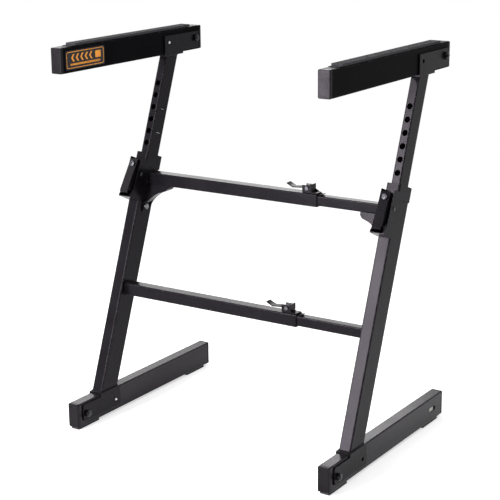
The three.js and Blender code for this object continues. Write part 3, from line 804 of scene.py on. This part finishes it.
WHITE_INK = Finish(
    "white_ink", Slot.STEEL, (0.62, 0.62, 0.62), (0.75, 0.75, 0.75), (0.45, 0.55),
    cloud=0.004, relief=0.000006,
)


# ---- pieces ----


def body_of(node: str) -> str:
    """The body that a CAD node belongs to."""
    return frame["nodes"][node]["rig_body"]


def dress(mesh: bpy.types.Mesh, finish: Finish, node: str, replaces: bool,
          wall: float = 0.0, soften: float = 0.0) -> bpy.types.Object:
    """Makes a mesh a piece of the stand.

    Args:
        mesh: the piece's mesh, in the stand's frame.
        finish: its finish.
        node: the CAD node whose body it moves with.
        replaces: whether it replaces that node.
        wall: the thickness that its skin is given inwards, or 0.
        soften: the width of the rounding of its sharp edges, or 0.

    Returns:
        The piece.
    """
    piece = bpy.data.objects.new(mesh.name, mesh)
    bpy.context.scene.collection.objects.link(piece)
    mesh.materials.append(finish.material())
    mesh.set_sharp_from_angle(angle=SMOOTH_BELOW)
    if wall:
        solidify = piece.modifiers.new("wall", "SOLIDIFY")
        solidify.thickness, solidify.offset, solidify.use_even_offset = wall, -1.0, True
    if soften:
        bevel = piece.modifiers.new("edges", "BEVEL")
        bevel.width, bevel.segments, bevel.limit_method = soften, 2, "ANGLE"
        bevel.angle_limit, bevel.use_clamp_overlap = SMOOTH_BELOW, True
    weighted = piece.modifiers.new("shading", "WEIGHTED_NORMAL")
    weighted.keep_sharp = not soften
    body = body_of(node)
    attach(piece, body)
    if replaces:
        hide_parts(node)
    LOG.info("%s rides on %s, %d faces", piece.name, body, len(mesh.polygons))
    return piece


def refined(node: str, finish: Finish, soften: float) -> bpy.types.Object:
    """Replaces a CAD node with a copy whose flat faces are whole and whose edges are rounded.

    Args:
        node: the CAD node.
        finish: the copy's finish.
        soften: the width of the rounding.

    Returns:
        The piece.
    """
    mesh = bpy.data.meshes.new(f"{node}_shape")
    body = bmesh.new()
    body.from_mesh(frame["nodes"][node].data)
    bmesh.ops.remove_doubles(body, verts=body.verts, dist=10 * TOUCH)
    bmesh.ops.dissolve_limit(body, angle_limit=math.radians(1), verts=body.verts, edges=body.edges)
    for face in body.faces:
        face.smooth = True
    body.to_mesh(mesh)
    body.free()
    return dress(mesh, finish, node, True, soften=soften)


def from_shell(name: str, shell: Shell, finish: Finish, node: str, replaces: bool = True,
               wall: float = 0.0, soften: float = 0.0) -> bpy.types.Object:
    """Makes a piece of a surface.

    Args:
        name: the piece's name.
        shell: its surface, in the stand's frame.
        finish: this and the others are as dress has them.

    Returns:
        The piece.
    """
    mesh = shell.mesh(name)
    for face in mesh.polygons:
        face.use_smooth = True
    return dress(mesh, finish, node, replaces, wall, soften)


def fastener(name: str, parts: Iterable[tuple[Profile, float]], place: Place, finish: Finish,
             node: str, replaces: bool = True) -> bpy.types.Object:
    """Makes a turned fastener, each of whose parts has a profile and a size across flats, or 0."""
    shell = solid(*(turned(profile, 48, flats) for profile, flats in parts))
    return from_shell(name, shell.moved(place), finish, node, replaces)


# ---- sub-assemblies ----


@dataclass
class Assembly:
    """A part of a side frame, which names its nodes after its side and its kind."""

    side: Side

    KIND: ClassVar[str] = ""

    @property
    def inward(self) -> int:
        """The sign of X towards the stand's middle."""
        return -self.side.value

    def name(self, part: str) -> str:
        """A part's name with its side and kind."""
        return f"{self.side.word}_{self.KIND}{part}"


@dataclass
class Bar(Assembly):
    """A base or an arm: a tube with end caps, its fasteners and its lock button."""

    front: float  # the Y of its front end
    length: float
    bottom: float
    pivot: float  # the pivot bolt's Y
    button: float  # the lock button's Y
    finish: Finish
    slot_at: float | None = None  # the storage slot's Y

    CORNER: ClassVar[float] = 0.003
    WALL: ClassVar[float] = 0.002
    CAP: ClassVar[float] = 0.008

    @property
    def middle(self) -> float:
        """The height of the bar's middle line."""
        return self.bottom + BAR_HEIGHT / 2

    def build(self) -> None:
        """Builds every piece of the bar."""
        self.tube()
        self.end_cap("front", self.front, 1)
        self.end_cap("rear", self.front + self.length, -1)
        self.pivot_bolt()
        self.lock_button()

    def tube(self) -> None:
        """The tube, with the holes for its pivot, its lock button and, on a base, storage."""
        both = [Hole(self.pivot - self.front, 0.0053, 0.012), Hole(self.button - self.front, 0.0038, 0.011)]
        storage = []
        if self.slot_at is not None:
            storage.append(Hole(self.slot_at - self.front, 0.0055, 0.026, straight=0.0105))
        inner, outer = (Wall.RIGHT, Wall.LEFT) if self.inward > 0 else (Wall.LEFT, Wall.RIGHT)
        holes = {wall: sorted(drilled, key=lambda hole: hole.along)
                 for wall, drilled in ((outer, both + storage), (inner, both))}
        tube = Tube(BAR_WIDTH, BAR_HEIGHT, self.CORNER, self.CAP + GAP, self.length - self.CAP - GAP, holes)
        place = bar_place(self.side.x, self.front, self.middle)
        from_shell(self.name("skin"), tube.shell().moved(place), self.finish, self.name("tube"),
                   wall=self.WALL, soften=0.0003)

    def end_cap(self, end: str, y: float, inwards: int) -> None:
        """A moulded cap: a cushioned face whose edge is rounded, on a plug inside the tube.

        Args:
            end: front or rear.
            y: the place of its face.
            inwards: the sign of Y into the bar.
        """
        edge, slack, plug_length = 0.0016, 0.0002, 0.010
        turn = np.linspace(0, QUARTER, 5)
        face = [(0.0, edge + 0.006), (0.00012, edge + 0.0006)]
        rounded = [(slack + edge * (1 - math.cos(t)), edge * (1 - math.sin(t))) for t in turn]
        plug = self.WALL + GAP
        back = [(self.CAP, 0.0), (self.CAP + TINY, TINY), (self.CAP + TINY, plug),
                (self.CAP + plug_length, plug)]
        ends = np.array([*face, *rounded, *back])
        rings = bar_rings(BAR_WIDTH - slack, BAR_HEIGHT - slack, self.CORNER, ends)
        rings[..., 2] *= inwards
        node = self.name(f"{end}_cap")
        place = bar_place(self.side.x, y, self.middle)
        from_shell(f"{node}_moulding", solid(rings).moved(place), PLASTIC, node)

    def pivot_bolt(self) -> None:
        """The pivot bolt: a hexagon head on a washer at -X, and a nut with the thread's end at +X."""
        node = self.name("pivot_bolt")
        cheek = BAR_WIDTH / 2 + CHEEK + GAP
        flats = 0.0156
        washer = [(0.0, TINY), (0.0, 0.0098), (0.0003, 0.0100), (0.0017, 0.0100), (0.0020, 0.0097),
                  (0.0020, TINY)]
        head = [(0.0019, TINY), (0.0019, 0.0090), (0.0078, 0.0090), (0.0085, 0.0078), (0.0085, TINY)]
        fastener(f"{node}_head", [(washer, 0), (head, flats)],
                 axle_place(self.side.x - cheek, self.pivot, self.middle, -1), BLACKENED, node)
        nut = [(0.0, TINY), (0.0, 0.0081), (0.0005, 0.0090), (0.0058, 0.0090), (0.0065, 0.0078),
               (0.0065, 0.0052), (0.0065, TINY)]
        thread = [(0.0064 + 0.0004 * k, 0.0049 - 0.0004 * (k % 2)) for k in range(5)]
        tail = [(0.0060, TINY), (0.0060, 0.0049), *thread, (0.0083, 0.0042), (0.0085, TINY)]
        fastener(f"{node}_nut", [(nut, flats), (tail, 0)],
                 axle_place(self.side.x + cheek, self.pivot, self.middle), BOLT_END, node, replaces=False)

    def lock_button(self) -> None:
        """The spring button: a bright plunger with a domed tip, on a collar inside the bar."""
        node = self.name("lock_button")
        inside = BAR_WIDTH / 2 - self.WALL - GAP
        tip = BAR_WIDTH / 2 + CHEEK
        collar = [(inside - 0.0015, TINY), (inside - 0.0015, 0.0058), (inside - 0.0003, 0.0060),
                  (inside - TINY, 0.0058), (inside - TINY, 0.0035)]
        plunger = [(tip, 0.0035), *dome(0.0035, 0.0018, tip + TINY)]
        fastener(f"{node}_plunger", [(collar + plunger, 0)],
                 axle_place(self.side.x, self.button, self.middle, self.inward), ZINC, node)


@dataclass
class Base(Bar):
    """A base, which adds the rubber feet and the small trim."""

    KIND: ClassVar[str] = "base_"
    FOOT_WIDTH: ClassVar[float] = 0.026
    FOOT_LENGTH: ClassVar[float] = 0.080

    def build(self) -> None:
        """Builds the bar, its feet and its trim."""
        super().build()
        self.foot("front", self.front + 0.005)
        self.foot("rear", self.front + self.length - 0.021 - self.FOOT_LENGTH)
        self.liner()
        self.stops()
        self.cap_rivets()

    def liner(self) -> None:
        """The pale nylon block behind the storage slot, which leaves the slot's rear end dark."""
        block = solid(bar_rings(0.005, 0.015, 0.001, soft_ends(0.027, 0.0008)))
        x = self.side.x + self.side.value * (BAR_WIDTH / 2 - self.WALL - 0.003)
        place = bar_place(x, self.slot_at - 0.017, self.middle)
        from_shell(self.name("slot_liner"), block.moved(place), NYLON, self.name("tube"), replaces=False)

    def stops(self) -> None:
        """A thin black rubber strip on each face, just under the bracket, below the lock button."""
        strip = bar_rings(0.0006, 0.004, 0.0002, soft_ends(0.036, 0.0002))
        places = [bar_place(self.side.x + face * (BAR_WIDTH / 2 + 0.0001), self.button - 0.018,
                            self.bottom + 0.0105) for face in (-1, 1)]
        strips = solid(*(place(strip) for place in places))
        from_shell(self.name("stop_strips"), strips, RUBBER, self.name("tube"), replaces=False)

    def cap_rivets(self) -> None:
        """A flush round rivet on each face near the front end, which holds the cap's plug."""
        rivet = turned([(-0.0002, TINY), (-0.0002, 0.0041), *dome(0.0040, 0.0002, 0.0001)])
        places = [axle_place(self.side.x + face * BAR_WIDTH / 2, self.front + 0.0115, self.middle, face)
                  for face in (-1, 1)]
        rivets = solid(*(place(rivet) for place in places))
        from_shell(self.name("cap_rivets"), rivets, PLASTIC, self.name("tube"), replaces=False)

    def foot(self, end: str, y: float) -> None:
        """A rubber foot with rounded edges.

        Args:
            end: front or rear.
            y: where it starts.
        """
        node = self.name(f"{end}_foot")
        rings = bar_rings(self.FOOT_WIDTH, self.FOOT_LENGTH, 0.004, soft_ends(self.bottom - GAP, 0.0012))
        middle = np.array([self.side.x, y + self.FOOT_LENGTH / 2, 0.0])
        from_shell(f"{node}_pad", solid(rings).moved(lambda p: p + middle), RUBBER, node)


@dataclass
class Arm(Bar):
    """An arm, which adds the ribbed pad and, on the left, the printed film."""

    KIND: ClassVar[str] = "arm_"
    PAD_HEIGHT: ClassVar[float] = 0.006
    PAD_WIDTH: ClassVar[float] = 0.028
    FRONT_INSET: ClassVar[float] = 0.052
    REAR_INSET: ClassVar[float] = 0.047
    GROOVES: ClassVar[int] = 3
    GROOVE_HALF: ClassVar[float] = 0.0013  # half a groove's width
    GROOVE_HALF_DEPTH: ClassVar[float] = 0.0006

    def build(self) -> None:
        """Builds the bar, its pad and its film."""
        super().build()
        self.pad()
        self.tape()
        if self.side is Side.LEFT:
            self.film()

    def pad(self) -> None:
        """The pad: a strip whose top has lengthwise grooves, with rounded ends.

        The top's height at a place across is the pad's height less a groove of 1.2 mm, which is
        a raised cosine 2.6 mm wide at each of the evenly spaced grooves.
        """
        node = self.name("pad")
        length = self.length - self.FRONT_INSET - self.REAR_INSET
        height = self.PAD_HEIGHT - GAP
        dense = self._with_top(bar_rings(self.PAD_WIDTH, height, 0.0014, soft_ends(length, 0.0014), steps=4))
        spacing = self.PAD_WIDTH / (self.GROOVES + 1)
        places = (np.arange(1, self.GROOVES + 1) - (self.GROOVES + 1) / 2) * spacing
        off = np.min(np.abs(dense[..., :1] - places), axis=-1)
        wave = self.GROOVE_HALF_DEPTH * (1 + np.cos(math.pi * off / self.GROOVE_HALF))
        sunk = np.where(off < self.GROOVE_HALF, wave, 0.0)
        dense[..., 1] -= np.where(dense[..., 1] > height / 2 - TINY, sunk, 0.0)
        top = self.bottom + BAR_HEIGHT + self.PAD_HEIGHT - height / 2
        place = bar_place(self.side.x, self.front + self.FRONT_INSET, top)
        from_shell(f"{node}_strip", solid(dense).moved(place), RUBBER, node)

    def tape(self) -> None:
        """A thin dark rubber strip on the arm's top, just in front of the pad."""
        tape = solid(bar_rings(0.026, 0.001, 0.0004, soft_ends(0.0125, 0.0004)))
        start = self.front + self.FRONT_INSET - 0.013
        place = bar_place(self.side.x, start, self.bottom + BAR_HEIGHT + 0.0006)
        from_shell(self.name("pad_tape"), tape.moved(place), RUBBER, self.name("pad"), replaces=False)

    def _with_top(self, rings: Array) -> Array:
        """Adds points on the top's flat stretch, which lies between the first two corners.

        Args:
            rings: the pad's rings.

        Returns:
            The rings with 72 more points each.
        """
        corner = rings.shape[1] // 4
        a, b = rings[:, corner - 1:corner], rings[:, corner:corner + 1]
        share = np.linspace(0, 1, 74)[1:-1][None, :, None]
        return np.concatenate([rings[:, :corner], a + share * (b - a), rings[:, corner:]], axis=1)

    def film(self) -> None:
        """A black film on the arm's inner face, printed with an orange frame and chevrons."""
        face = self.side.x + self.inward * (BAR_WIDTH / 2 + 0.00004)
        place = axle_place(face, self.front + 0.0865, self.middle - 0.001, self.inward)

        def layered(*layers: tuple[Array, float]) -> Array:
            """Rings of (along the arm, up) points, each at its distance off the face."""
            return np.stack([np.column_stack([ring, np.full(len(ring), off)]) for ring, off in layers])

        sheet = outline(0.140, 0.044, 0.004)
        shell = solid(layered((sheet, 0.0), (sheet, 0.00010)))
        from_shell("left_arm_film", shell.moved(place), FILM, self.name("tube"), replaces=False)
        outer, inner = outline(0.134, 0.038, 0.006), outline(0.1312, 0.0352, 0.0046)
        low, high = 0.00005, 0.00016
        ink = Shell()
        ink.grid(layered((outer, low), (outer, high), (inner, high), (inner, low)), loop=True, ring=True)
        signs = [self._chevron(-0.044 + 0.016 * k) for k in range(5)]
        signs.append(outline(0.108, 0.0042, 0.002) + np.array([0.0, -0.0105]))
        signs.append(outline(0.020, 0.0160, 0.003) + np.array([0.0460, 0.0045]))
        for sign in signs:
            ink.capped(layered((sign, 0.0), (sign, high)))
        from_shell("left_arm_print", ink.moved(place), INK, self.name("tube"), replaces=False)

    @staticmethod
    def _chevron(at: float) -> Array:
        """A chevron of the print that points to the arm's front, as a closed ring."""
        half, thick, lean, up = 0.0085, 0.0055, 0.0065, 0.0045
        return np.array([[at, up - half], [at + thick, up - half], [at + thick - lean, up],
                         [at + thick, up + half], [at, up + half], [at - lean, up]])


@dataclass
class Leg(Assembly):
    """A telescoping leg: two tubes, their bushing, brackets, weld beads and index marks."""

    LOWER: ClassVar[tuple[float, float, float]] = (0.030, 0.060, 0.003)  # width, depth, corner
    UPPER: ClassVar[tuple[float, float, float]] = (0.022, 0.045, 0.0025)
    LOWER_TOP: ClassVar[float] = 0.667
    UPPER_BOTTOM: ClassVar[float] = 0.390
    FOOT_CUT: ClassVar[float] = BASE_BOTTOM + BAR_HEIGHT + WEB + 2 * GAP
    HEAD_CUT: ClassVar[float] = ARM_BOTTOM - WEB - 2 * GAP
    INDEX_HOLES: ClassVar[int] = 8
    MARKED: ClassVar[tuple[int, ...]] = (3, 5)  # the holes with a mark beside them

    def build(self) -> None:
        """Builds every piece of the leg."""
        self.lower_tube()
        self.upper_tube()
        self.marks()
        for end in ("foot", "arm"):
            refined(self.name(f"{end}_bracket"), PRESSED, 0.0006)
        refined(self.name("leg_bushing"), PLASTIC, 0.0004)
        self.weld("foot", self.LOWER, self.FOOT_CUT, 0.0022, self.name("lower_leg"))
        self.weld("arm", self.UPPER, self.HEAD_CUT, 0.0020, self.name("upper_leg"))

    def lower_tube(self) -> None:
        """The lower leg's tube, cut level at its foot."""
        foot = self.FOOT_CUT / math.cos(LEAN)
        tube = Tube(*self.LOWER, foot, self.LOWER_TOP, shear=math.tan(LEAN), aslant=foot)
        self._tube("lower_leg", tube, 0.002)

    def upper_tube(self) -> None:
        """The upper leg's tube, with its index holes in front, cut level at its head."""
        head = self.HEAD_CUT / math.cos(LEAN)
        holes = [Hole(PIN_ALONG + k * INDEX_PITCH, 0.007, INDEX_PITCH / 2) for k in range(self.INDEX_HOLES)]
        tube = Tube(*self.UPPER, self.UPPER_BOTTOM, head, {Wall.BOTTOM: holes}, math.tan(LEAN), head)
        self._tube("upper_leg", tube, 0.0018)

    def _tube(self, part: str, tube: Tube, wall: float) -> None:
        """Places a tube of the leg. Its section's height is the leg's depth.

        Args:
            part: the tube's name without its side.
            tube: the tube.
            wall: the thickness of its wall.
        """
        node = self.name(part)
        shell = tube.shell().moved(leg_place(self.side))
        from_shell(f"{node}_skin", shell, COAT, node, wall=wall, soften=0.0003)

    def marks(self) -> None:
        """White index marks, printed on the inner face beside two of the holes."""
        width = self.UPPER[0]
        shell = Shell()
        for step in self.MARKED:
            middle = np.array([0.0025, PIN_ALONG + step * INDEX_PITCH])
            ring = outline(0.013, 0.0016, 0.0007, steps=3) + middle
            rings = [np.column_stack([np.full(len(ring), self.inward * (width / 2 + off)), ring])
                     for off in (0.00002, 0.00012)]
            shell.capped(np.stack(rings))
        node = self.name("upper_leg")
        from_shell(f"{node}_marks", shell.moved(leg_place(self.side)), WHITE_INK, node, replaces=False)

    def weld(self, end: str, section: tuple[float, float, float], z: float, radius: float, node: str) -> None:
        """The weld bead round a leg's level end.

        Args:
            end: foot or arm.
            section: the tube's width, depth and corner.
            z: the height of the cut.
            radius: the bead's radius.
            node: the tube's node.
        """
        ring = spread(outline(*section, steps=8), 220)
        along = z / math.cos(LEAN) + ring[:, 1] * math.tan(LEAN)
        path = leg_place(self.side)(np.column_stack([ring, along]))
        outward = (path - path.mean(axis=0)) * np.array([1, 1, 0])
        bead = weld_bead(path, outward, (0, 0, 1.0), radius, 46)
        from_shell(self.name(f"{end}_weld"), bead, PRESSED, node, replaces=False)


@dataclass
class Latch(Assembly):
    """The height latch: housing, lever, rivet, pin with its screw, and spring."""

    KIND: ClassVar[str] = "latch_"
    PIVOT_ALONG: ClassVar[float] = 0.612
    PIVOT_OUT: ClassVar[float] = -0.041
    LEVER_TOP: ClassVar[tuple[float, float]] = (-0.059, 0.647)  # out and along
    LEVER_FOOT: ClassVar[tuple[float, float]] = (-0.078, 0.562)

    def lever_out(self, along: float) -> float:
        """How far out the lever's outer face lies, at a place along the leg."""
        (out0, along0), (out1, along1) = self.LEVER_TOP, self.LEVER_FOOT
        return out0 + (out1 - out0) * (along0 - along) / (along0 - along1)

    def build(self) -> None:
        """Builds every piece of the latch."""
        refined(self.name("housing"), PRESSED, 0.0006)
        refined(self.name("lever"), PRESSED, 0.0006)
        self.rivet()
        self.pin()
        self.spring()

    def rivet(self) -> None:
        """The rivet that the lever rocks on, with a domed head on each side."""
        node = self.name("rivet")
        cheek = 0.015 + 0.002 + 2 * GAP
        head = turned([(0.0, TINY), (0.0, 0.0045), (0.0004, 0.0047), *dome(0.0046, 0.0013, 0.0006)])
        shaft = turned([(-cheek - TINY, 0.003), (cheek + TINY, 0.003)], 24)
        stacks = [axle_place(x, self.PIVOT_OUT, self.PIVOT_ALONG, sign)(rings)
                  for rings, x, sign in ((head, -cheek, -1), (head, cheek, 1), (shaft, 0, 1))]
        from_shell(f"{node}_heads", solid(*stacks).moved(leg_place(self.side)), BLACKENED, node)

    def pin(self) -> None:
        """The latch pin, drawn by a screw whose pan head has a cross recess.

        The recess sinks by 1.3 mm where either of two crossed bars 1.4 mm wide lies within
        3 mm of the axis, with sides that slope as a smooth step.
        """
        node = self.name("pin")
        face = self.lever_out(PIN_ALONG) - 0.0024
        head, rim = 0.0024, 0.0069
        radii = np.concatenate([np.linspace(TINY, 0.0036, 14), np.linspace(0.0040, rim, 8)])
        radius, angle = np.meshgrid(radii, np.linspace(0, ROUND, 96, endpoint=False), indexing="ij")
        a, b = radius * np.cos(angle), radius * np.sin(angle)
        height = head * np.sqrt(np.clip(1 - (radius / (1.12 * rim)) ** 2, 0, 1))
        arm = np.minimum(np.abs(a), np.abs(b))
        inside = np.clip((0.0009 - arm) / 0.0004, 0, 1) * np.clip((0.0034 - radius) / 0.0006, 0, 1)
        top = np.stack([a, b, height - 0.0013 * inside ** 2 * (3 - 2 * inside)], axis=-1)
        skirt = turned([(0.0, rim), (0.0, TINY)], 96)
        shoulder, tip = face + 0.046, face + 0.0185
        shank = turned([(0.0, 0.0035), (shoulder, 0.0035), (shoulder, 0.0055),
                        (tip + 0.001, 0.0055), (tip, 0.0045)])

        def place(points: Array) -> Array:
            """Turns the screw's axis to point out of the leg's front."""
            out = np.stack([points[..., 0], face - points[..., 2], PIN_ALONG + points[..., 1]], axis=-1)
            return leg_place(self.side)(out)

        screw = solid(np.concatenate([top, skirt]), shank)
        from_shell(f"{node}_screw", screw.moved(place), BLACKENED, node)

    def spring(self) -> None:
        """The coil spring under the lever's foot.

        Its wire runs on a helix: turn t from 0 to 2 pi times the coils, at radius 4 mm, with
        the distance out rising evenly from the housing to the lever.
        """
        node = self.name("spring")
        along = self.PIVOT_ALONG - 0.030
        outer = self.lever_out(along) + 0.0048
        inner = -0.030 - 0.002 - 3 * GAP
        coils, radius, wire = 7, 0.0040, 0.0005
        turn = np.linspace(0, ROUND * coils, 24 * coils + 1)
        out = np.linspace(inner - wire, outer + wire, len(turn))
        centre = np.column_stack([radius * np.cos(turn), out, along + radius * np.sin(turn)])
        radial = np.column_stack([np.cos(turn), np.zeros_like(turn), np.sin(turn)])
        around = np.linspace(0, ROUND, 8, endpoint=False)[None, :, None]
        side = np.array([0.0, 1.0, 0.0])
        rings = centre[:, None] + wire * (np.cos(around) * radial[:, None] + np.sin(around) * side)
        piece = from_shell(f"{node}_coil", solid(rings).moved(leg_place(self.side)), DULL_ZINC, node)
        seat = leg_place(self.side)(np.array([0.0, inner, along]))
        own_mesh(piece)


@dataclass
class Crossbar:
    """A telescoping crossbar with its welds, its cam clamp and, above, its gussets."""

    name: str
    height: float
    outer_end: float  # the X of the outer tube's open end
    gusset: bool

    OUTER: ClassVar[float] = 0.030
    INNER: ClassVar[float] = 0.024
    CORNER: ClassVar[float] = 0.0025
    INNER_LENGTH: ClassVar[float] = 0.365
    FACE: ClassVar[float] = FRAME_HALF - BAR_WIDTH / 2 - GAP  # from the middle to a leg's inner face

    @property
    def y(self) -> float:
        """The crossbar's place on Y, on the legs' middle line."""
        return LEG_AT_FLOOR + self.height * math.tan(LEAN)

    def build(self) -> None:
        """Builds every piece of the crossbar."""
        self.tube("outer", self.OUTER, -self.FACE, self.outer_end)
        self.tube("inner", self.INNER, self.FACE - self.INNER_LENGTH, self.FACE)
        self.weld("outer", self.OUTER, -self.FACE)
        self.weld("inner", self.INNER, self.FACE)
        refined(f"{self.name}_cam_saddle", PRESSED, 0.0005)
        refined(f"{self.name}_cam_lever", PRESSED, 0.0007)
        refined(f"{self.name}_pressure_plate", PRESSED, 0.0004)
        refined(f"{self.name}_cam_pin", BLACKENED, 0.0005)

    def tube(self, part: str, size: float, start: float, end: float) -> None:
        """A crossbar tube along X, or the whole node's shape where it has a gusset.

        Args:
            part: outer or inner.
            size: the tube's width and height.
            start: where it starts on X.
            end: where it ends.
        """
        node = f"{self.name}_crossbar_{part}"
        if self.gusset:
            refined(node, SHADED_CROSS_COAT, 0.0005)
            return
        shell = Tube(size, size, self.CORNER, 0.0, end - start).shell()
        place = cross_place(start, self.y, self.height)
        from_shell(f"{node}_skin", shell.moved(place), SHADED_CROSS_COAT, node, wall=0.002, soften=0.0003)

    def weld(self, part: str, size: float, x: float) -> None:
        """The weld bead between a crossbar tube and its leg.

        Args:
            part: outer or inner.
            size: the tube's width and height.
            x: the place of the leg's face.
        """
        ring = spread(outline(size, size, self.CORNER, steps=8), 160)
        path = np.column_stack([np.full(len(ring), x), self.y + ring[:, 0], self.height + ring[:, 1]])
        outward = np.column_stack([np.zeros(len(ring)), ring])
        node = f"{self.name}_crossbar_{part}"
        bead = weld_bead(path, outward, (1.0, 0, 0), 0.0020, 34)
        from_shell(f"{node}_weld", bead, PRESSED, node, replaces=False)


@dataclass
class Studio:
    """The floor, the light and the camera, which aren't part of the stand."""

    azimuth: float = 33.3
    elevation: float = 15.2
    roll: float = -0.5
    distance: float = 3.3867
    target: tuple[float, float, float] = (-0.0005, -0.0211, 0.4448)
    lens: float = 102.83
    floor_half: float = 15.0
    floor_grey: float = 0.86
    floor_lift: float = 0.54  # what the floor adds for the rays that show the background
    fade: tuple[float, float] = (0.9, 3.0)  # where the floor turns white, from the middle
    ambient: float = 0.42
    ceiling: tuple[float, float, float] = (0.38, 0.72, 0.22)  # from and to an upward share, dimness

    def build(self) -> None:
        """Builds the studio. Its lamps are soft boxes, with the key on the upper left."""
        bpy.context.scene.view_settings.view_transform = "Standard"
        self.camera()
        self.floor()
        self.world()
        self._lamp("key", (-1.9, -1.0, 2.7), (0.0, 0.0, 0.35), (1.5, 1.5), 30.0)
        self._lamp("strip", (-0.96, -2.45, 1.2), (0.15, 0.0, 0.6), (0.58, 2.2), 135.0)
        self._lamp("back", (-2.15, 2.9, 1.85), (0.0, 0.0, 0.5), (2.2, 0.9), 26.0)
        self._lamp("top", (0.2, 0.4, 3.3), (0.0, 0.0, 0.2), (2.2, 2.2), 22.0)
        self._lamp("spark", (1.5, -2.6, 1.7), (0.0, 0.0, 0.5), (0.3, 0.3), 18.0)

    def camera(self) -> None:
        """The camera, at the photograph's viewing angle."""
        a, e, r = (math.radians(angle) for angle in (self.azimuth, self.elevation, self.roll))
        forward = Vector((-math.sin(a) * math.cos(e), math.cos(a) * math.cos(e), -math.sin(e)))
        level = Vector((math.cos(a), math.sin(a), 0))
        above = level.cross(forward)
        right = level * math.cos(r) + above * math.sin(r)
        up = above * math.cos(r) - level * math.sin(r)
        data = bpy.data.cameras.new("camera")
        data.lens, data.sensor_width = self.lens, 36.0
        camera = bpy.data.objects.new("camera", data)
        turn = Matrix((right, up, -forward)).transposed().to_4x4()
        camera.matrix_world = Matrix.Translation(Vector(self.target) - forward * self.distance) @ turn
        bpy.context.scene.collection.objects.link(camera)
        bpy.context.scene.camera = camera

    def floor(self) -> None:
        """A plain pale floor, lifted a little for the camera so that it joins the backdrop."""
        mesh = bpy.data.meshes.new("floor")
        half = self.floor_half
        corners = [(a * half, b * half, -GAP) for a, b in ((-1, -1), (1, -1), (1, 1), (-1, 1))]
        mesh.from_pydata(corners, [], [(0, 1, 2, 3)])
        floor = bpy.data.objects.new("floor", mesh)
        bpy.context.scene.collection.objects.link(floor)
        material = bpy.data.materials.new("floor")
        material.use_nodes = True
        desk = NodeDesk(material.node_tree)
        shown = self._shown(desk)
        matt = desk.add("ShaderNodeBsdfDiffuse", {"Color": (*[self.floor_grey] * 3, 1)})
        none, lift, white = (self._glow(desk, power) for power in (0.0, self.floor_lift, 1.0))
        seen = desk.add("ShaderNodeMixShader", {0: shown, 1: none, 2: lift})
        both = desk.add("ShaderNodeAddShader", {0: matt.outputs[0], 1: seen.outputs[0]})
        place = desk.add("ShaderNodeTexCoord").outputs["Object"]
        far = desk.add("ShaderNodeVectorMath", {0: place}, operation="LENGTH").outputs["Value"]
        away = desk.sum("MULTIPLY", desk.remap(far, *self.fade), shown)
        top = desk.add("ShaderNodeMixShader", {0: away, 1: both.outputs[0], 2: white})
        desk.add("ShaderNodeOutputMaterial", {"Surface": top.outputs[0]})
        mesh.materials.append(material)

    @staticmethod
    def _glow(desk: NodeDesk, power: float, kind: str = "ShaderNodeEmission") -> Socket:
        """White light of a given power."""
        return desk.add(kind, {"Color": (1, 1, 1, 1), "Strength": power}).outputs[0]

    @staticmethod
    def _shown(desk: NodeDesk) -> Socket:
        """Picks the rays that show the background.

        Args:
            desk: the material's or world's desk.

        Returns:
            1 for camera, glossy and transmission rays, and 0 for others.
        """
        rays = desk.add("ShaderNodeLightPath").outputs
        seen = desk.sum("MAXIMUM", rays["Is Camera Ray"], rays["Is Glossy Ray"])
        return desk.sum("MAXIMUM", seen, rays["Is Transmission Ray"])

    def world(self) -> None:
        """Soft light from all round, under a backdrop that is white low down and dimmer overhead."""
        world = bpy.data.worlds.new("world")
        bpy.context.scene.world = world
        world.use_nodes = True
        desk = NodeDesk(world.node_tree)
        heading = desk.add("ShaderNodeTexCoord").outputs["Generated"]
        upward = desk.add("ShaderNodeSeparateXYZ", {0: heading}).outputs[2]
        low, high, dim = self.ceiling
        overhead = desk.remap(upward, low, high, 1.0, dim)
        light, white = (self._glow(desk, power, "ShaderNodeBackground") for power in (self.ambient, overhead))
        mix = desk.add("ShaderNodeMixShader", {0: self._shown(desk), 1: light, 2: white})
        desk.add("ShaderNodeOutputWorld", {"Surface": mix.outputs[0]})

    @staticmethod
    def _lamp(name: str, place: Sequence[float], aim: Sequence[float], size: tuple[float, float],
              power: float) -> None:
        """Adds a rectangular soft light.

        Args:
            name: its name.
            place: where it stands.
            aim: the point that it faces.
            size: its width and height.
            power: its power in watts.
        """
        data = bpy.data.lights.new(name, "AREA")
        data.shape, data.size, data.size_y, data.energy = "RECTANGLE", *size, power
        lamp = bpy.data.objects.new(name, data)
        turn = (Vector(aim) - Vector(place)).to_track_quat("-Z", "Y").to_matrix().to_4x4()
        lamp.matrix_world = Matrix.Translation(place) @ turn
        lamp.visible_camera = False
        bpy.context.scene.collection.objects.link(lamp)


def main() -> None:
    """Builds the studio and every sub-assembly."""
    logging.basicConfig(level=logging.INFO, format="%(name)s: %(message)s")
    Studio().build()
    base_pivot = BASE_FRONT + BASE_PIVOT_INSET
    arm_pivot = ARM_FRONT + ARM_LENGTH - ARM_PIVOT_INSET
    for side in Side:
        Base(side, BASE_FRONT, BASE_LENGTH, BASE_BOTTOM, base_pivot, base_pivot + LOCK_REACH, LIT_BASE_COAT,
             slot_at=BASE_FRONT + BASE_LENGTH - STORAGE_INSET).build()
        Arm(side, ARM_FRONT, ARM_LENGTH, ARM_BOTTOM, arm_pivot, arm_pivot - LOCK_REACH, SHADED_ARM_COAT).build()
        Leg(side).build()
        Latch(side).build()
        refined(f"{side.word}_gusset_bolt", DULL_ZINC, 0.0004)
    for bar in (Crossbar("upper", 0.5735, 0.155, True), Crossbar("lower", 0.3095, 0.160, False)):
        bar.build()


if __name__ == "__main__":
    main()
